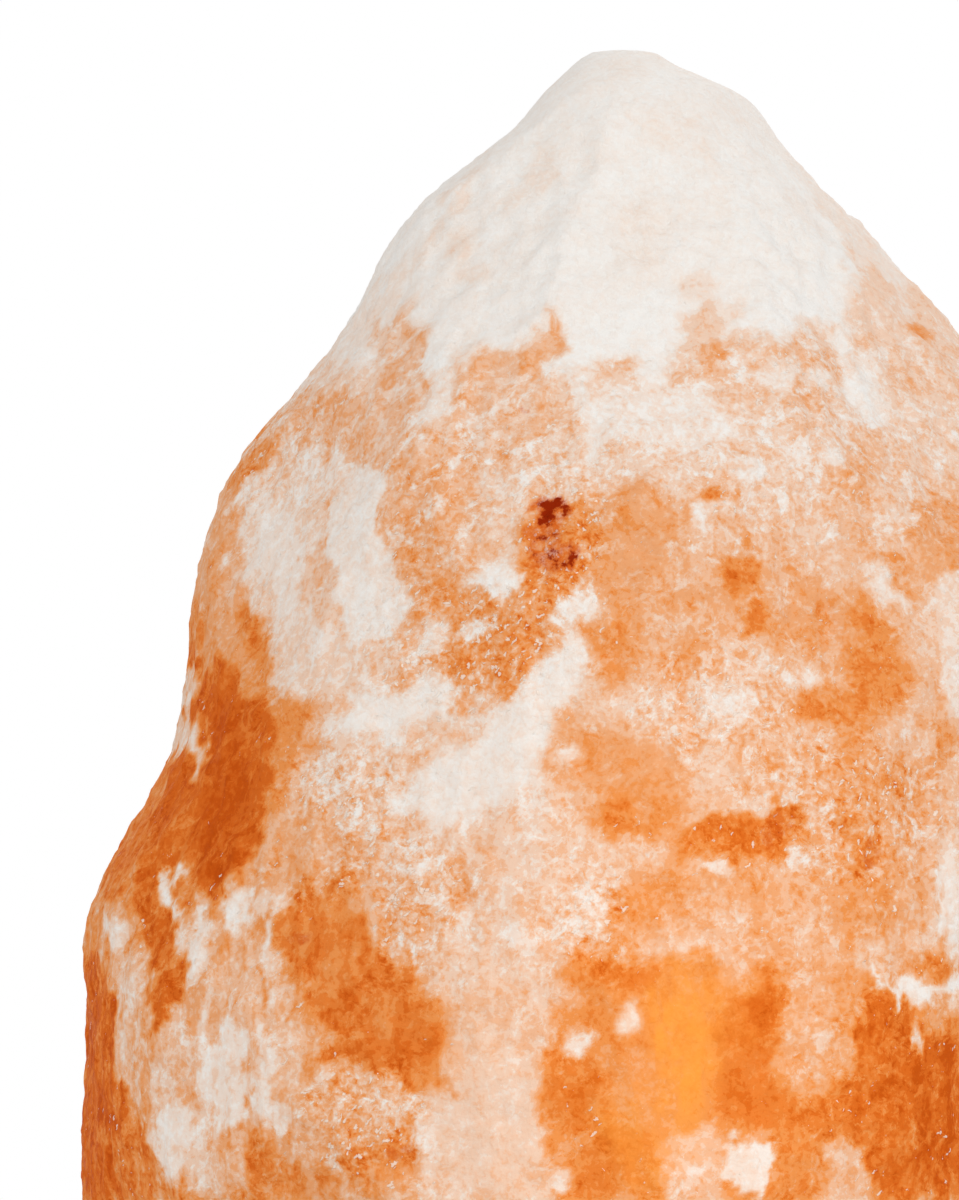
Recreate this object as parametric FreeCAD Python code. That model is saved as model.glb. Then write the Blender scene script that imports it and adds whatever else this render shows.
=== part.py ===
"""Salt crystal lamp: a hewn block of rock salt on a turned wooden base, lit from inside by a screw bulb.

The bulb holder pushes up into the rock's bore from below and stays there by three spring fingers.
Frame: +Z up, -Y the front, origin on the surface that the lamp stands on, under the axis of the bore.
All sizes are in millimetres, and angles in degrees. An azimuth is counted from +X towards +Y.
"""

import FreeCAD
import Part

import math
import os

# --- The rock: its overall size, and the bore for the bulb and its holder ---
CRYSTAL_HEIGHT = 197.0
CRYSTAL_HALF_WIDTH = 75.0
CRYSTAL_HALF_DEPTH = 64.0
BORE_RADIUS = 24.0
BORE_DEPTH = 100.0
BORE_DOME = 7.0

# Level cuts through the rock, from its sawn foot to its blunt peak. Each row is the share of the height,
# then the shares of the half width or half depth that the rock reaches to the right, back, left and front.
LEVEL_CUTS = (
    (0.000, 0.765, 0.790, 0.775, 0.780),
    (0.100, 0.890, 0.905, 0.913, 0.915),
    (0.220, 0.972, 0.985, 0.990, 0.990),
    (0.355, 0.995, 0.985, 0.985, 0.985),
    (0.460, 0.960, 0.950, 0.902, 0.935),
    (0.580, 0.887, 0.880, 0.802, 0.860),
    (0.690, 0.795, 0.790, 0.748, 0.770),
    (0.770, 0.667, 0.680, 0.590, 0.650),
    (0.830, 0.546, 0.565, 0.486, 0.530),
    (0.890, 0.391, 0.430, 0.390, 0.405),
    (0.940, 0.274, 0.310, 0.227, 0.280),
    (0.966, 0.218, 0.235, 0.162, 0.205),
    (0.981, 0.140, 0.160, 0.125, 0.145),
    (0.992, 0.078, 0.090, 0.095, 0.085),
    (1.000, 0.020, 0.020, 0.030, 0.020),
)
# How far the rock stands out (above 1) or falls flat between those four directions: the azimuth's quarter,
# back right, back left, front left, front right; then how much that wanders up the rock, and its phase.
CORNER_BULGES = ((1.05, 0.035, 0.10), (0.97, 0.030, 0.45), (1.06, 0.030, 0.70), (0.98, 0.035, 0.30))
BULGE_WAVES = 1.6
CUT_POINTS = 12

# The chisel's blows climb round the rock in a spiral and leave flat faces. The first, the last and the reach
# that their lean is taken over are shares of the height, and a light blow is a share of a full one. The left
# and right sides, within so many degrees, keep their round.
BLOW_COUNT = 64
BLOW_TURN = 137.5
BLOW_DEPTH = 2.2
LIGHT_BLOW = 0.4
BLOW_RHYTHM = 5.0
FIRST_BLOW = 0.05
LAST_BLOW = 0.90
SLOPE_REACH = 0.04
KEPT_SIDE = 25.0

# --- The wooden base, its feet, and the screws that hold it to the rock ---
BASE_RADIUS = 66.0
BASE_THICKNESS = 22.0
BASE_FOOT_ROUND = 3.0
BASE_BAND_HEIGHT = 11.5
BASE_QUIRK_DEPTH = 1.6
BASE_QUIRK_HEIGHT = 1.2
BASE_TOP_ROUND = 6.0
BASE_TOP_SWELL = 1.1
BASE_BORE_RADIUS = 27.0
CHANNEL_WIDTH = 9.0
CHANNEL_HEIGHT = 10.0

FOOT_HEIGHT = 3.0
FOOT_RADIUS = 6.5
FOOT_ROUND = 1.2
FOOT_CIRCLE_RADIUS = 54.0
FOOT_COUNT = 4

SCREW_COUNT = 3
SCREW_CIRCLE_RADIUS = 42.5
SCREW_RADIUS = 2.0
SCREW_LENGTH = 32.0
SCREW_TIP = 4.0
SCREW_HEAD_RADIUS = 3.9
SCREW_HEAD_HEIGHT = 2.6
RECESS_LENGTH = 4.4
RECESS_WIDTH = 0.9
RECESS_DEPTH = 1.5
COUNTERBORE_DEPTH = 9.0
WASHER_RADIUS = 5.0
WASHER_THICKNESS = 0.8
PLUG_RADIUS = 3.9
PLUG_END_WALL = 2.4
PLUG_COLLAR_RADIUS = 5.2
PLUG_COLLAR_HEIGHT = 1.2
PLUG_RIBS = 5
PLUG_RIB_DEPTH = 0.4

# --- The holder's bracket: plate, spring fingers and their clips, threaded nipple, nut and washer ---
PLATE_THICKNESS = 1.0
PLATE_LIP = 2.4
FINGER_COUNT = 3
FINGER_WIDTH = 9.0
FINGER_THICKNESS = 0.6
FINGER_ROOT_INSET = 3.4
FINGER_LENGTH = 31.0
FINGER_CREST_HEIGHT = 20.0
FINGER_TIP_INSET = 3.8
FINGER_CURL = 0.8
FINGER_RISE_BOW = 0.5
FINGER_LEAN_BOW = 0.9
CLIP_LENGTH = 5.2
RIVET_RADIUS = 1.2
RIVET_HEAD_RADIUS = 2.1
RIVET_HEAD_HEIGHT = 0.8
NIPPLE_RADIUS = 5.0
NIPPLE_BORE_RADIUS = 3.6
NIPPLE_END = 1.8
NUT_ACROSS_FLATS = 14.0
NUT_HEIGHT = 3.4
LOCK_WASHER_RADIUS = 7.6
LOCK_WASHER_THICKNESS = 0.8
LOCK_WASHER_TEETH = 10

# --- The bulb holder's mouldings and contacts ---
CAP_RADIUS = 13.2
CAP_HEIGHT = 10.8
CAP_FLOOR = 3.0
CAP_WALL = 2.0
CAP_CHAMFER = 1.0
CAP_BOSS_RADIUS = 7.6
CAP_BOSS_HEIGHT = 8.0
CAP_SPIGOT_HEIGHT = 3.2
CORE_HEIGHT = 6.0
SHELL_RADIUS = 14.0
SHELL_WALL = 2.0
SHELL_HEIGHT = 22.5
SHELL_MOUTH_ROUND = 1.4
SHELL_FLUTES = 18
SHELL_FLUTE_RADIUS = 0.9
SHELL_FLUTE_HEIGHT = 11.0
THREAD_LINER_WALL = 0.35
THREAD_LINER_RECESS = 0.5
THREAD_LINER_HOLE_RADIUS = 4.6
TERMINAL_OFFSET = 7.5
TERMINAL_SCREW_RADIUS = 1.3
TERMINAL_SCREW_LENGTH = 3.2
TERMINAL_HEAD_RADIUS = 2.1
TERMINAL_HEAD_HEIGHT = 1.5
TERMINAL_SLOT_WIDTH = 0.7
TERMINAL_SLOT_DEPTH = 0.6
TONGUE_WIDTH = 5.0
TONGUE_THICKNESS = 0.4
TONGUE_RISE = 3.0
TONGUE_SLOT_DEPTH = 2.4
TONGUE_SLOT_MARGIN = 0.5

# --- The bulb: small screw cap, pear glass, stem, lead wires and filament ---
BULB_TIP_RADIUS = 1.9
BULB_TIP_HEIGHT = 1.4
BULB_TIP_RIM = 0.8
BULB_FOOT_RADIUS = 5.6
BULB_FOOT_HEIGHT = 2.4
BULB_CAP_RADIUS = 6.85
BULB_CAP_WALL = 0.35
BULB_CAP_HEIGHT = 15.5
BULB_NECK_DEPTH = 4.0
BULB_RADIUS = 11.0
BULB_GLASS_HEIGHT = 32.0
BULB_SHOULDER_HEIGHT = 11.0
BULB_SHOULDER_SWELL = 0.9
BULB_WALL = 0.7
STEM_RADIUS = 2.1
STEM_FLARE_HEIGHT = 4.0
STEM_FLARE_BOW = 0.8
STEM_HEIGHT = 9.5
LEAD_RADIUS = 0.3
LEAD_FOOT_OFFSET = 1.1
LEAD_KNEE_HEIGHT = 1.5
LEAD_TOP_OFFSET = 6.0
LEAD_HEIGHT = 12.5
FILAMENT_RADIUS = 0.25
FILAMENT_SAG = 2.6
SUPPORT_RADIUS = 0.16
SUPPORT_OFFSET = 3.1

# --- Clearances ---
SEAT_GAP = 0.2
PLATE_GAP = 0.7
FIT_GAP = 0.3
THREAD_GAP = 0.05
CONTACT_GAP = 0.05

# --- Sizes that follow from what they fit ---
COUNTERBORE_RADIUS = WASHER_RADIUS + FIT_GAP
PLATE_RADIUS = BASE_BORE_RADIUS - PLATE_GAP
FINGER_ROOT_RADIUS = BORE_RADIUS - FINGER_ROOT_INSET
FINGER_TIP_RADIUS = BORE_RADIUS - FINGER_TIP_INSET
SHELL_SKIRT_RADIUS = SHELL_RADIUS - SHELL_WALL
CORE_RADIUS = SHELL_SKIRT_RADIUS - FIT_GAP
THREAD_LINER_RADIUS = BULB_CAP_RADIUS + FIT_GAP
BULB_NECK_RADIUS = BULB_CAP_RADIUS - BULB_CAP_WALL - FIT_GAP
STEM_FLARE_RADIUS = BULB_NECK_RADIUS - BULB_WALL - CONTACT_GAP

# --- Heights of the main seats above the surface ---
BASE_TOP = FOOT_HEIGHT + BASE_THICKNESS
WASHER_BOTTOM = FOOT_HEIGHT + COUNTERBORE_DEPTH - WASHER_THICKNESS
SCREW_HEAD_BOTTOM = WASHER_BOTTOM - SCREW_HEAD_HEIGHT
SCREW_TOP = WASHER_BOTTOM + SCREW_LENGTH
PLUG_TOP = SCREW_TOP + FIT_GAP + PLUG_END_WALL
PLATE_TOP = BASE_TOP - SEAT_GAP
PLATE_BOTTOM = PLATE_TOP - PLATE_THICKNESS
NUT_TOP = PLATE_BOTTOM - LOCK_WASHER_THICKNESS
NIPPLE_BOTTOM = NUT_TOP - NUT_HEIGHT - NIPPLE_END
NIPPLE_TOP = PLATE_TOP + CAP_BOSS_HEIGHT + FIT_GAP
CORE_BOTTOM = PLATE_TOP + CAP_HEIGHT
CORE_TOP = CORE_BOTTOM + CORE_HEIGHT
SHELL_BOTTOM = CORE_BOTTOM - CAP_SPIGOT_HEIGHT
SHELL_TOP = SHELL_BOTTOM + SHELL_HEIGHT
LINER_BOTTOM = CORE_TOP + SEAT_GAP
TONGUE_BOTTOM = CORE_TOP - TONGUE_SLOT_DEPTH + SEAT_GAP
TONGUE_TOP = TONGUE_BOTTOM + TONGUE_RISE + TONGUE_THICKNESS
BULB_BOTTOM = TONGUE_TOP + CONTACT_GAP
BULB_CAP_BOTTOM = BULB_BOTTOM + BULB_FOOT_HEIGHT
BULB_CAP_TOP = BULB_CAP_BOTTOM + BULB_CAP_HEIGHT
GLASS_BOTTOM = BULB_CAP_TOP - BULB_NECK_DEPTH
STEM_TOP = GLASS_BOTTOM + STEM_HEIGHT
LEAD_TOP = STEM_TOP + LEAD_HEIGHT

# The cord's channel leaves the base at the back, and the screws and fingers keep clear of it.
BACK = 90.0
UP = FreeCAD.Vector(0, 0, 1)


# --- Helpers ---
def point(x, y, z):
    return FreeCAD.Vector(x, y, z)


def polar(radius, azimuth, z=0.0):
    turn = math.radians(azimuth)
    return point(radius * math.cos(turn), radius * math.sin(turn), z)


def closed_face(start, *steps):
    """A face in the XZ plane. A step is (x, z) for a straight edge, or (via, end) for an arc."""
    edges, here = [], point(start[0], 0, start[1])
    for step in (*steps, start):
        if isinstance(step[0], tuple):
            via, end = (point(x, 0, z) for x, z in step)
            edges.append(Part.Arc(here, via, end).toShape())
        else:
            end = point(step[0], 0, step[1])
            if here.isEqual(end, 1e-7):
                continue
            edges.append(Part.LineSegment(here, end).toShape())
        here = end
    return Part.Face(Part.Wire(edges))


def turned(start, *steps):
    """A solid of revolution about the Z axis. The outline's x is the radius."""
    return closed_face(start, *steps).revolve(point(0, 0, 0), UP, 360)


def cylinder(radius, bottom, top, centre=(0.0, 0.0)):
    return Part.makeCylinder(radius, top - bottom, point(centre[0], centre[1], bottom))


def tube(outer, inner, bottom, top):
    return cylinder(outer, bottom, top).cut(cylinder(inner, bottom, top))


def block(x, y, z):
    """A box from three (low, high) pairs."""
    return Part.makeBox(x[1] - x[0], y[1] - y[0], z[1] - z[0], point(x[0], y[0], z[0]))


def at_azimuth(shape, azimuth):
    turned_copy = shape.copy()
    turned_copy.rotate(point(0, 0, 0), UP, azimuth)
    return turned_copy


def around(shape, azimuths):
    """One shape repeated about the lamp's axis. The shape is drawn towards +X."""
    return Part.makeCompound([at_azimuth(shape, azimuth) for azimuth in azimuths])


def even_azimuths(count, first):
    return [first + 360.0 * k / count for k in range(count)]


def arc_middle(start, end, bulge):
    """The point that an arc from start to end passes, bulge to the left of the line between them."""
    dx, dz = end[0] - start[0], end[1] - start[1]
    length = math.hypot(dx, dz)
    return ((start[0] + end[0]) / 2 - dz / length * bulge, (start[1] + end[1]) / 2 + dx / length * bulge)


def round_middle(centre, radius, angle):
    """A point on a circle in the XZ plane, for the middle of a rounded edge."""
    turn = math.radians(angle)
    return (centre[0] + radius * math.cos(turn), centre[1] + radius * math.sin(turn))


def dome_middle(radius, foot, height):
    """The middle of a spherical dome's outline, which runs from the rim up or down to the axis."""
    sphere = (radius**2 + height**2) / (2 * height)
    half = math.asin(radius / sphere) / 2
    return (sphere * math.sin(half), foot + height - sphere * (1 - math.cos(half)))


SCREW_AZIMUTHS = even_azimuths(SCREW_COUNT, BACK + 180.0)
FOOT_AZIMUTHS = even_azimuths(FOOT_COUNT, BACK + 180.0 / FOOT_COUNT)
FINGER_AZIMUTHS = even_azimuths(FINGER_COUNT, BACK + 180.0 / FINGER_COUNT)
FINGER_NAMES = ("left", "front", "right")


# --- The rock ---
def level_reaches(height):
    """The shares that the rock reaches to the right, back, left and front at a share of its height."""
    for low, high in zip(LEVEL_CUTS, LEVEL_CUTS[1:]):
        if height <= high[0]:
            share = (height - low[0]) / (high[0] - low[0])
            right, back, left, front = (a + share * (b - a) for a, b in zip(low[1:], high[1:]))
            break
    return right, back, left, front


def rock_reach(azimuth, height):
    """The rock's reach from the bore's axis: an uneven oval with bulging and flat quarters."""
    right, back, left, front = level_reaches(height)
    turn = math.radians(azimuth)
    across = CRYSTAL_HALF_WIDTH * (right if math.cos(turn) > 0 else left)
    along = CRYSTAL_HALF_DEPTH * (back if math.sin(turn) > 0 else front)
    oval = 1.0 / math.hypot(math.cos(turn) / across, math.sin(turn) / along)
    bulge, wander, phase = CORNER_BULGES[int(azimuth % 360.0 // 90.0)]
    corner = bulge + wander * math.sin(2 * math.pi * (height * BULGE_WAVES + phase))
    return oval * (1.0 + (corner - 1.0) * math.sin(2 * turn) ** 2)


def rock_section(height):
    """The closed curve round the rock at a share of its height."""
    z = BASE_TOP + height * CRYSTAL_HEIGHT
    azimuths = even_azimuths(CUT_POINTS, 0.0)
    curve = Part.BSplineCurve()
    curve.interpolate(Points=[polar(rock_reach(a, height), a, z) for a in azimuths], PeriodicFlag=True)
    return Part.Wire([curve.toShape()])


def rock_slope(azimuth, height):
    """The rock's lean towards its axis at a place, in degrees."""
    low, high = height - SLOPE_REACH, height + SLOPE_REACH
    lean = rock_reach(azimuth, low) - rock_reach(azimuth, high)
    return math.degrees(math.atan2(lean, (high - low) * CRYSTAL_HEIGHT))


def waste_beyond(azimuth, height, depth):
    """The block that a blow takes off the rock, down to a flat face that leans as the rock does there."""
    size, lean = 2 * CRYSTAL_HEIGHT, rock_slope(azimuth, height)
    waste = Part.makeBox(size, size, size, point(0, -size / 2, -size / 2))
    waste.rotate(point(0, 0, 0), point(0, 1, 0), -lean)
    waste = at_azimuth(waste, azimuth)
    face = rock_reach(azimuth, height) - depth / math.cos(math.radians(lean))
    waste.translate(polar(face, azimuth, BASE_TOP + height * CRYSTAL_HEIGHT))
    return waste


def chisel_wastes():
    """The blocks taken off by all the blows, from the foot to the crown."""
    for blow in range(BLOW_COUNT):
        azimuth = blow * BLOW_TURN % 360.0
        height = FIRST_BLOW + (LAST_BLOW - FIRST_BLOW) * blow / (BLOW_COUNT - 1)
        facing = abs(math.sin(math.radians(azimuth)))
        force = LIGHT_BLOW + (1.0 - LIGHT_BLOW) * (1.0 + math.sin(BLOW_RHYTHM * blow)) / 2
        if facing > math.sin(math.radians(KEPT_SIDE)):
            yield waste_beyond(azimuth, height, BLOW_DEPTH * force * facing)


def bulb_bore():
    """The drilled hole, with the shallow dome that the core drill leaves when the core breaks out."""
    top, foot = BASE_TOP + BORE_DEPTH, BASE_TOP - 1
    dome = dome_middle(BORE_RADIUS, top, BORE_DOME)
    return turned((0, foot), (BORE_RADIUS, foot), (BORE_RADIUS, top), (dome, (0, top + BORE_DOME)))


def plug_hole():
    """One drilled hole for a screw plug, with the sinking for the plug's collar."""
    collar_top = BASE_TOP + PLUG_COLLAR_HEIGHT + SEAT_GAP
    hole = cylinder(PLUG_RADIUS + THREAD_GAP, BASE_TOP - 1, PLUG_TOP + FIT_GAP)
    sinking = cylinder(PLUG_COLLAR_RADIUS + THREAD_GAP, BASE_TOP - 1, collar_top)
    both = hole.fuse(sinking)
    both.translate(point(SCREW_CIRCLE_RADIUS, 0, 0))
    return both


def salt_crystal():
    rock = Part.makeLoft([rock_section(cut[0]) for cut in LEVEL_CUTS], True, False)
    for waste in chisel_wastes():
        rock = rock.cut(waste)
    return rock.cut([bulb_bore(), around(plug_hole(), SCREW_AZIMUTHS)])


# --- The wooden base, feet and screws ---
def cord_channel():
    """The routed slot under the base that the cord leaves by, with a round roof."""
    half, roof = CHANNEL_WIDTH / 2, FOOT_HEIGHT + CHANNEL_HEIGHT
    spring, below = roof - half, FOOT_HEIGHT - 1
    face = closed_face((-half, below), (half, below), (half, spring), ((0, roof), (-half, spring)))
    return face.extrude(point(0, BASE_RADIUS + 1, 0))


def screw_way():
    """One screw's hole through the base: the counterbore for its head, and the clearance hole above."""
    head = cylinder(COUNTERBORE_RADIUS, FOOT_HEIGHT - 1, FOOT_HEIGHT + COUNTERBORE_DEPTH)
    shank = cylinder(SCREW_RADIUS + FIT_GAP, FOOT_HEIGHT, BASE_TOP + 1)
    both = head.fuse(shank)
    both.translate(point(SCREW_CIRCLE_RADIUS, 0, 0))
    return both


def wood_base():
    low_round = BASE_RADIUS - BASE_FOOT_ROUND
    band_top = FOOT_HEIGHT + BASE_FOOT_ROUND + BASE_BAND_HEIGHT
    quirk = BASE_RADIUS - BASE_QUIRK_DEPTH
    shoulder = band_top + BASE_QUIRK_HEIGHT
    top_radius = quirk - BASE_TOP_ROUND
    ovolo = arc_middle((quirk, shoulder), (top_radius, BASE_TOP), -BASE_TOP_SWELL)
    disc = turned(
        (BASE_BORE_RADIUS, FOOT_HEIGHT),
        (low_round, FOOT_HEIGHT),
        (
            round_middle((low_round, FOOT_HEIGHT + BASE_FOOT_ROUND), BASE_FOOT_ROUND, -45),
            (BASE_RADIUS, FOOT_HEIGHT + BASE_FOOT_ROUND),
        ),
        (BASE_RADIUS, band_top),
        (quirk, band_top),
        (quirk, shoulder),
        (ovolo, (top_radius, BASE_TOP)),
        (BASE_BORE_RADIUS, BASE_TOP),
    )
    return disc.cut([cord_channel(), around(screw_way(), SCREW_AZIMUTHS)])


def rubber_foot():
    flat = FOOT_RADIUS - FOOT_ROUND
    return turned(
        (0, 0), (flat, 0), (round_middle((flat, FOOT_ROUND), FOOT_ROUND, -45), (FOOT_RADIUS, FOOT_ROUND)),
        (FOOT_RADIUS, FOOT_HEIGHT), (0, FOOT_HEIGHT),
    )


def rubber_feet():
    foot = rubber_foot()
    foot.translate(point(FOOT_CIRCLE_RADIUS, 0, 0))
    return around(foot, FOOT_AZIMUTHS)


def cross_recess(head_bottom):
    """The driver's cross in a screw head that faces down."""
    half, width, top = RECESS_LENGTH / 2, RECESS_WIDTH / 2, head_bottom + RECESS_DEPTH
    arm = block((-half, half), (-width, width), (head_bottom - 1, top))
    return arm.fuse(at_azimuth(arm, 90))


def base_screws():
    edge = SCREW_HEAD_HEIGHT / 2
    flat, side = SCREW_HEAD_RADIUS - edge, SCREW_HEAD_BOTTOM + edge
    screw = turned(
        (0, SCREW_HEAD_BOTTOM),
        (flat, SCREW_HEAD_BOTTOM),
        (round_middle((flat, side), edge, -45), (SCREW_HEAD_RADIUS, side)),
        (SCREW_HEAD_RADIUS, WASHER_BOTTOM),
        (SCREW_RADIUS, WASHER_BOTTOM),
        (SCREW_RADIUS, SCREW_TOP - SCREW_TIP),
        (0, SCREW_TOP),
    ).cut(cross_recess(SCREW_HEAD_BOTTOM))
    screw.translate(point(SCREW_CIRCLE_RADIUS, 0, 0))
    return around(screw, SCREW_AZIMUTHS)


def screw_washers():
    washer = tube(WASHER_RADIUS, SCREW_RADIUS + THREAD_GAP, WASHER_BOTTOM, WASHER_BOTTOM + WASHER_THICKNESS)
    washer.translate(point(SCREW_CIRCLE_RADIUS, 0, 0))
    return around(washer, SCREW_AZIMUTHS)


def screw_plugs():
    """Ribbed nylon plugs in the rock, flush with its sawn foot, with a closed end."""
    collar_top = BASE_TOP + PLUG_COLLAR_HEIGHT
    pitch = (PLUG_TOP - collar_top) / PLUG_RIBS
    steps = [(PLUG_COLLAR_RADIUS, BASE_TOP), (PLUG_COLLAR_RADIUS, collar_top), (PLUG_RADIUS, collar_top)]
    for rib in range(1, PLUG_RIBS + 1):
        crest = collar_top + rib * pitch
        steps += [(PLUG_RADIUS - PLUG_RIB_DEPTH, crest), (PLUG_RADIUS, crest)]
    steps[-1] = (0, PLUG_TOP)
    screw_hole = cylinder(SCREW_RADIUS + THREAD_GAP, BASE_TOP - 1, PLUG_TOP - PLUG_END_WALL)
    plug = turned((0, BASE_TOP), *steps).cut(screw_hole)
    plug.translate(point(SCREW_CIRCLE_RADIUS, 0, 0))
    return around(plug, SCREW_AZIMUTHS)


# --- The holder's bracket ---
def bracket_plate():
    """A pressed steel disc with a stiffening lip turned down round its rim."""
    inner = PLATE_RADIUS - PLATE_THICKNESS
    corner = (inner - PLATE_THICKNESS / 2, PLATE_BOTTOM - PLATE_THICKNESS / 2)
    outer_round = round_middle(corner, PLATE_RADIUS - corner[0], 45)
    inner_round = round_middle(corner, inner - corner[0], 45)
    plate = turned(
        (NIPPLE_RADIUS + FIT_GAP, PLATE_BOTTOM),
        (corner[0], PLATE_BOTTOM),
        (inner_round, (inner, corner[1])),
        (inner, PLATE_TOP - PLATE_LIP),
        (PLATE_RADIUS, PLATE_TOP - PLATE_LIP),
        (PLATE_RADIUS, corner[1]),
        (outer_round, (corner[0], PLATE_TOP)),
        (NIPPLE_RADIUS + FIT_GAP, PLATE_TOP),
    )
    return plate.cut(around(rivet_hole(), FINGER_AZIMUTHS))


def clip_middle():
    """The distance from the lamp's axis to the middle of a finger's clip, where its rivet goes."""
    return FINGER_ROOT_RADIUS - FINGER_THICKNESS / 2 - FINGER_CURL - CONTACT_GAP - CLIP_LENGTH / 2


def rivet_hole():
    top = PLATE_TOP + FINGER_THICKNESS + 1
    return cylinder(RIVET_RADIUS + THREAD_GAP, PLATE_BOTTOM - 1, top, (clip_middle(), 0))


def finger_clips():
    """The foot of each finger: a flat tab riveted to the plate, close up to the finger's rolled bend."""
    near, far = clip_middle() - CLIP_LENGTH / 2, clip_middle() + CLIP_LENGTH / 2
    half = FINGER_WIDTH / 2
    tab = block((near, far), (-half, half), (PLATE_TOP, PLATE_TOP + FINGER_THICKNESS))
    upright = [edge for edge in tab.Edges if edge.BoundBox.ZLength > FINGER_THICKNESS / 2]
    corners = [edge for edge in upright if edge.CenterOfMass.x < clip_middle()]
    return around(tab.makeFillet(FINGER_THICKNESS, corners).cut(rivet_hole()), FINGER_AZIMUTHS)


def clip_rivets():
    """One rivet through each clip and the plate, with a domed head above and a flat one below."""
    clip_top = PLATE_TOP + FINGER_THICKNESS
    crown = dome_middle(RIVET_HEAD_RADIUS, clip_top, RIVET_HEAD_HEIGHT)
    rivet = turned(
        (0, PLATE_BOTTOM - RIVET_HEAD_HEIGHT / 2),
        (RIVET_HEAD_RADIUS, PLATE_BOTTOM - RIVET_HEAD_HEIGHT / 2),
        (RIVET_HEAD_RADIUS, PLATE_BOTTOM),
        (RIVET_RADIUS, PLATE_BOTTOM),
        (RIVET_RADIUS, clip_top),
        (RIVET_HEAD_RADIUS, clip_top),
        (crown, (0, clip_top + RIVET_HEAD_HEIGHT)),
    )
    rivet.translate(point(clip_middle(), 0, 0))
    return around(rivet, FINGER_AZIMUTHS)


def finger_reach():
    """The radius of a finger's outer face where its corners just clear the bore's wall."""
    return math.sqrt(BORE_RADIUS**2 - (FINGER_WIDTH / 2) ** 2) - FIT_GAP


def finger_pivot_height():
    return PLATE_TOP + FINGER_CURL + CONTACT_GAP


def spring_finger():
    """A strip of spring steel that bows out to the bore's wall, with a rolled bend at its foot."""
    low = finger_pivot_height()
    crest, top = low + FINGER_CREST_HEIGHT, low + FINGER_LENGTH
    outer = finger_reach()
    inner = outer - FINGER_THICKNESS
    rise = arc_middle((FINGER_ROOT_RADIUS, low), (outer, crest), -FINGER_RISE_BOW)
    rise_inside = (rise[0] - FINGER_THICKNESS, rise[1])
    lean = arc_middle((outer, crest), (FINGER_TIP_RADIUS, top), -FINGER_LEAN_BOW)
    lean_inside = (lean[0] - FINGER_THICKNESS, lean[1])
    strip = closed_face(
        (FINGER_ROOT_RADIUS, low),
        (rise, (outer, crest)),
        (lean, (FINGER_TIP_RADIUS, top)),
        (FINGER_TIP_RADIUS - FINGER_THICKNESS, top),
        (lean_inside, (inner, crest)),
        (rise_inside, (FINGER_ROOT_RADIUS - FINGER_THICKNESS, low)),
    ).extrude(point(0, FINGER_WIDTH, 0))
    curl = Part.makeCylinder(
        FINGER_CURL, FINGER_WIDTH, point(FINGER_ROOT_RADIUS - FINGER_THICKNESS / 2, 0, low), point(0, 1, 0)
    )
    finger = strip.fuse(curl).removeSplitter()
    finger.translate(point(0, -FINGER_WIDTH / 2, 0))
    return finger


def cord_nipple():
    """The hollow threaded tube that clamps the holder to the plate, and that the cord comes in by."""
    return tube(NIPPLE_RADIUS, NIPPLE_BORE_RADIUS, NIPPLE_BOTTOM, NIPPLE_TOP)


def lock_nut():
    bottom, flat = NUT_TOP - NUT_HEIGHT, NUT_ACROSS_FLATS / 2
    corner_radius = flat / math.cos(math.radians(30))
    corners = [polar(corner_radius, azimuth, bottom) for azimuth in even_azimuths(6, 0.0)]
    hexagon = Part.Face(Part.makePolygon([*corners, corners[0]])).extrude(point(0, 0, NUT_HEIGHT))
    chamfer = (corner_radius - flat) / 2
    edge = ((flat, bottom), (corner_radius, bottom + chamfer), (corner_radius, NUT_TOP))
    rounded = hexagon.common(turned((0, bottom), *edge, (0, NUT_TOP)))
    return rounded.cut(cylinder(NIPPLE_RADIUS + THREAD_GAP, bottom - 1, NUT_TOP + 1))


def lock_washer():
    """An inside ring with teeth cut round its outer edge."""
    ring = tube(LOCK_WASHER_RADIUS, NIPPLE_RADIUS + THREAD_GAP, NUT_TOP, PLATE_BOTTOM)
    tooth_pitch = 2 * math.pi * LOCK_WASHER_RADIUS / LOCK_WASHER_TEETH
    gap = cylinder(tooth_pitch / 8, NUT_TOP - 1, PLATE_BOTTOM + 1, (LOCK_WASHER_RADIUS, 0))
    return ring.cut(around(gap, even_azimuths(LOCK_WASHER_TEETH, 0.0)))


# --- The bulb holder ---
def socket_cap():
    """The lower moulding: a cup with a boss for the nipple, and a spigot that the shell pushes over."""
    floor_top = PLATE_TOP + CAP_FLOOR
    spigot = SHELL_SKIRT_RADIUS - THREAD_GAP
    body = turned(
        (0, PLATE_TOP),
        (CAP_RADIUS - CAP_CHAMFER, PLATE_TOP),
        (CAP_RADIUS, PLATE_TOP + CAP_CHAMFER),
        (CAP_RADIUS, SHELL_BOTTOM),
        (spigot, SHELL_BOTTOM),
        (spigot, CORE_BOTTOM),
        (spigot - CAP_WALL, CORE_BOTTOM),
        (spigot - CAP_WALL, floor_top),
        (CAP_BOSS_RADIUS, floor_top),
        (CAP_BOSS_RADIUS, PLATE_TOP + CAP_BOSS_HEIGHT),
        (0, PLATE_TOP + CAP_BOSS_HEIGHT),
    )
    return body.cut(cylinder(NIPPLE_RADIUS + THREAD_GAP, PLATE_TOP - 1, CORE_BOTTOM))


def tongue_slot():
    half = TONGUE_WIDTH / 2 + TONGUE_SLOT_MARGIN
    left = -TERMINAL_OFFSET - TONGUE_THICKNESS - TONGUE_SLOT_MARGIN
    floor = CORE_TOP - TONGUE_SLOT_DEPTH
    return block((left, THREAD_LINER_HOLE_RADIUS), (-half, half), (floor, CORE_TOP + 1))


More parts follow.
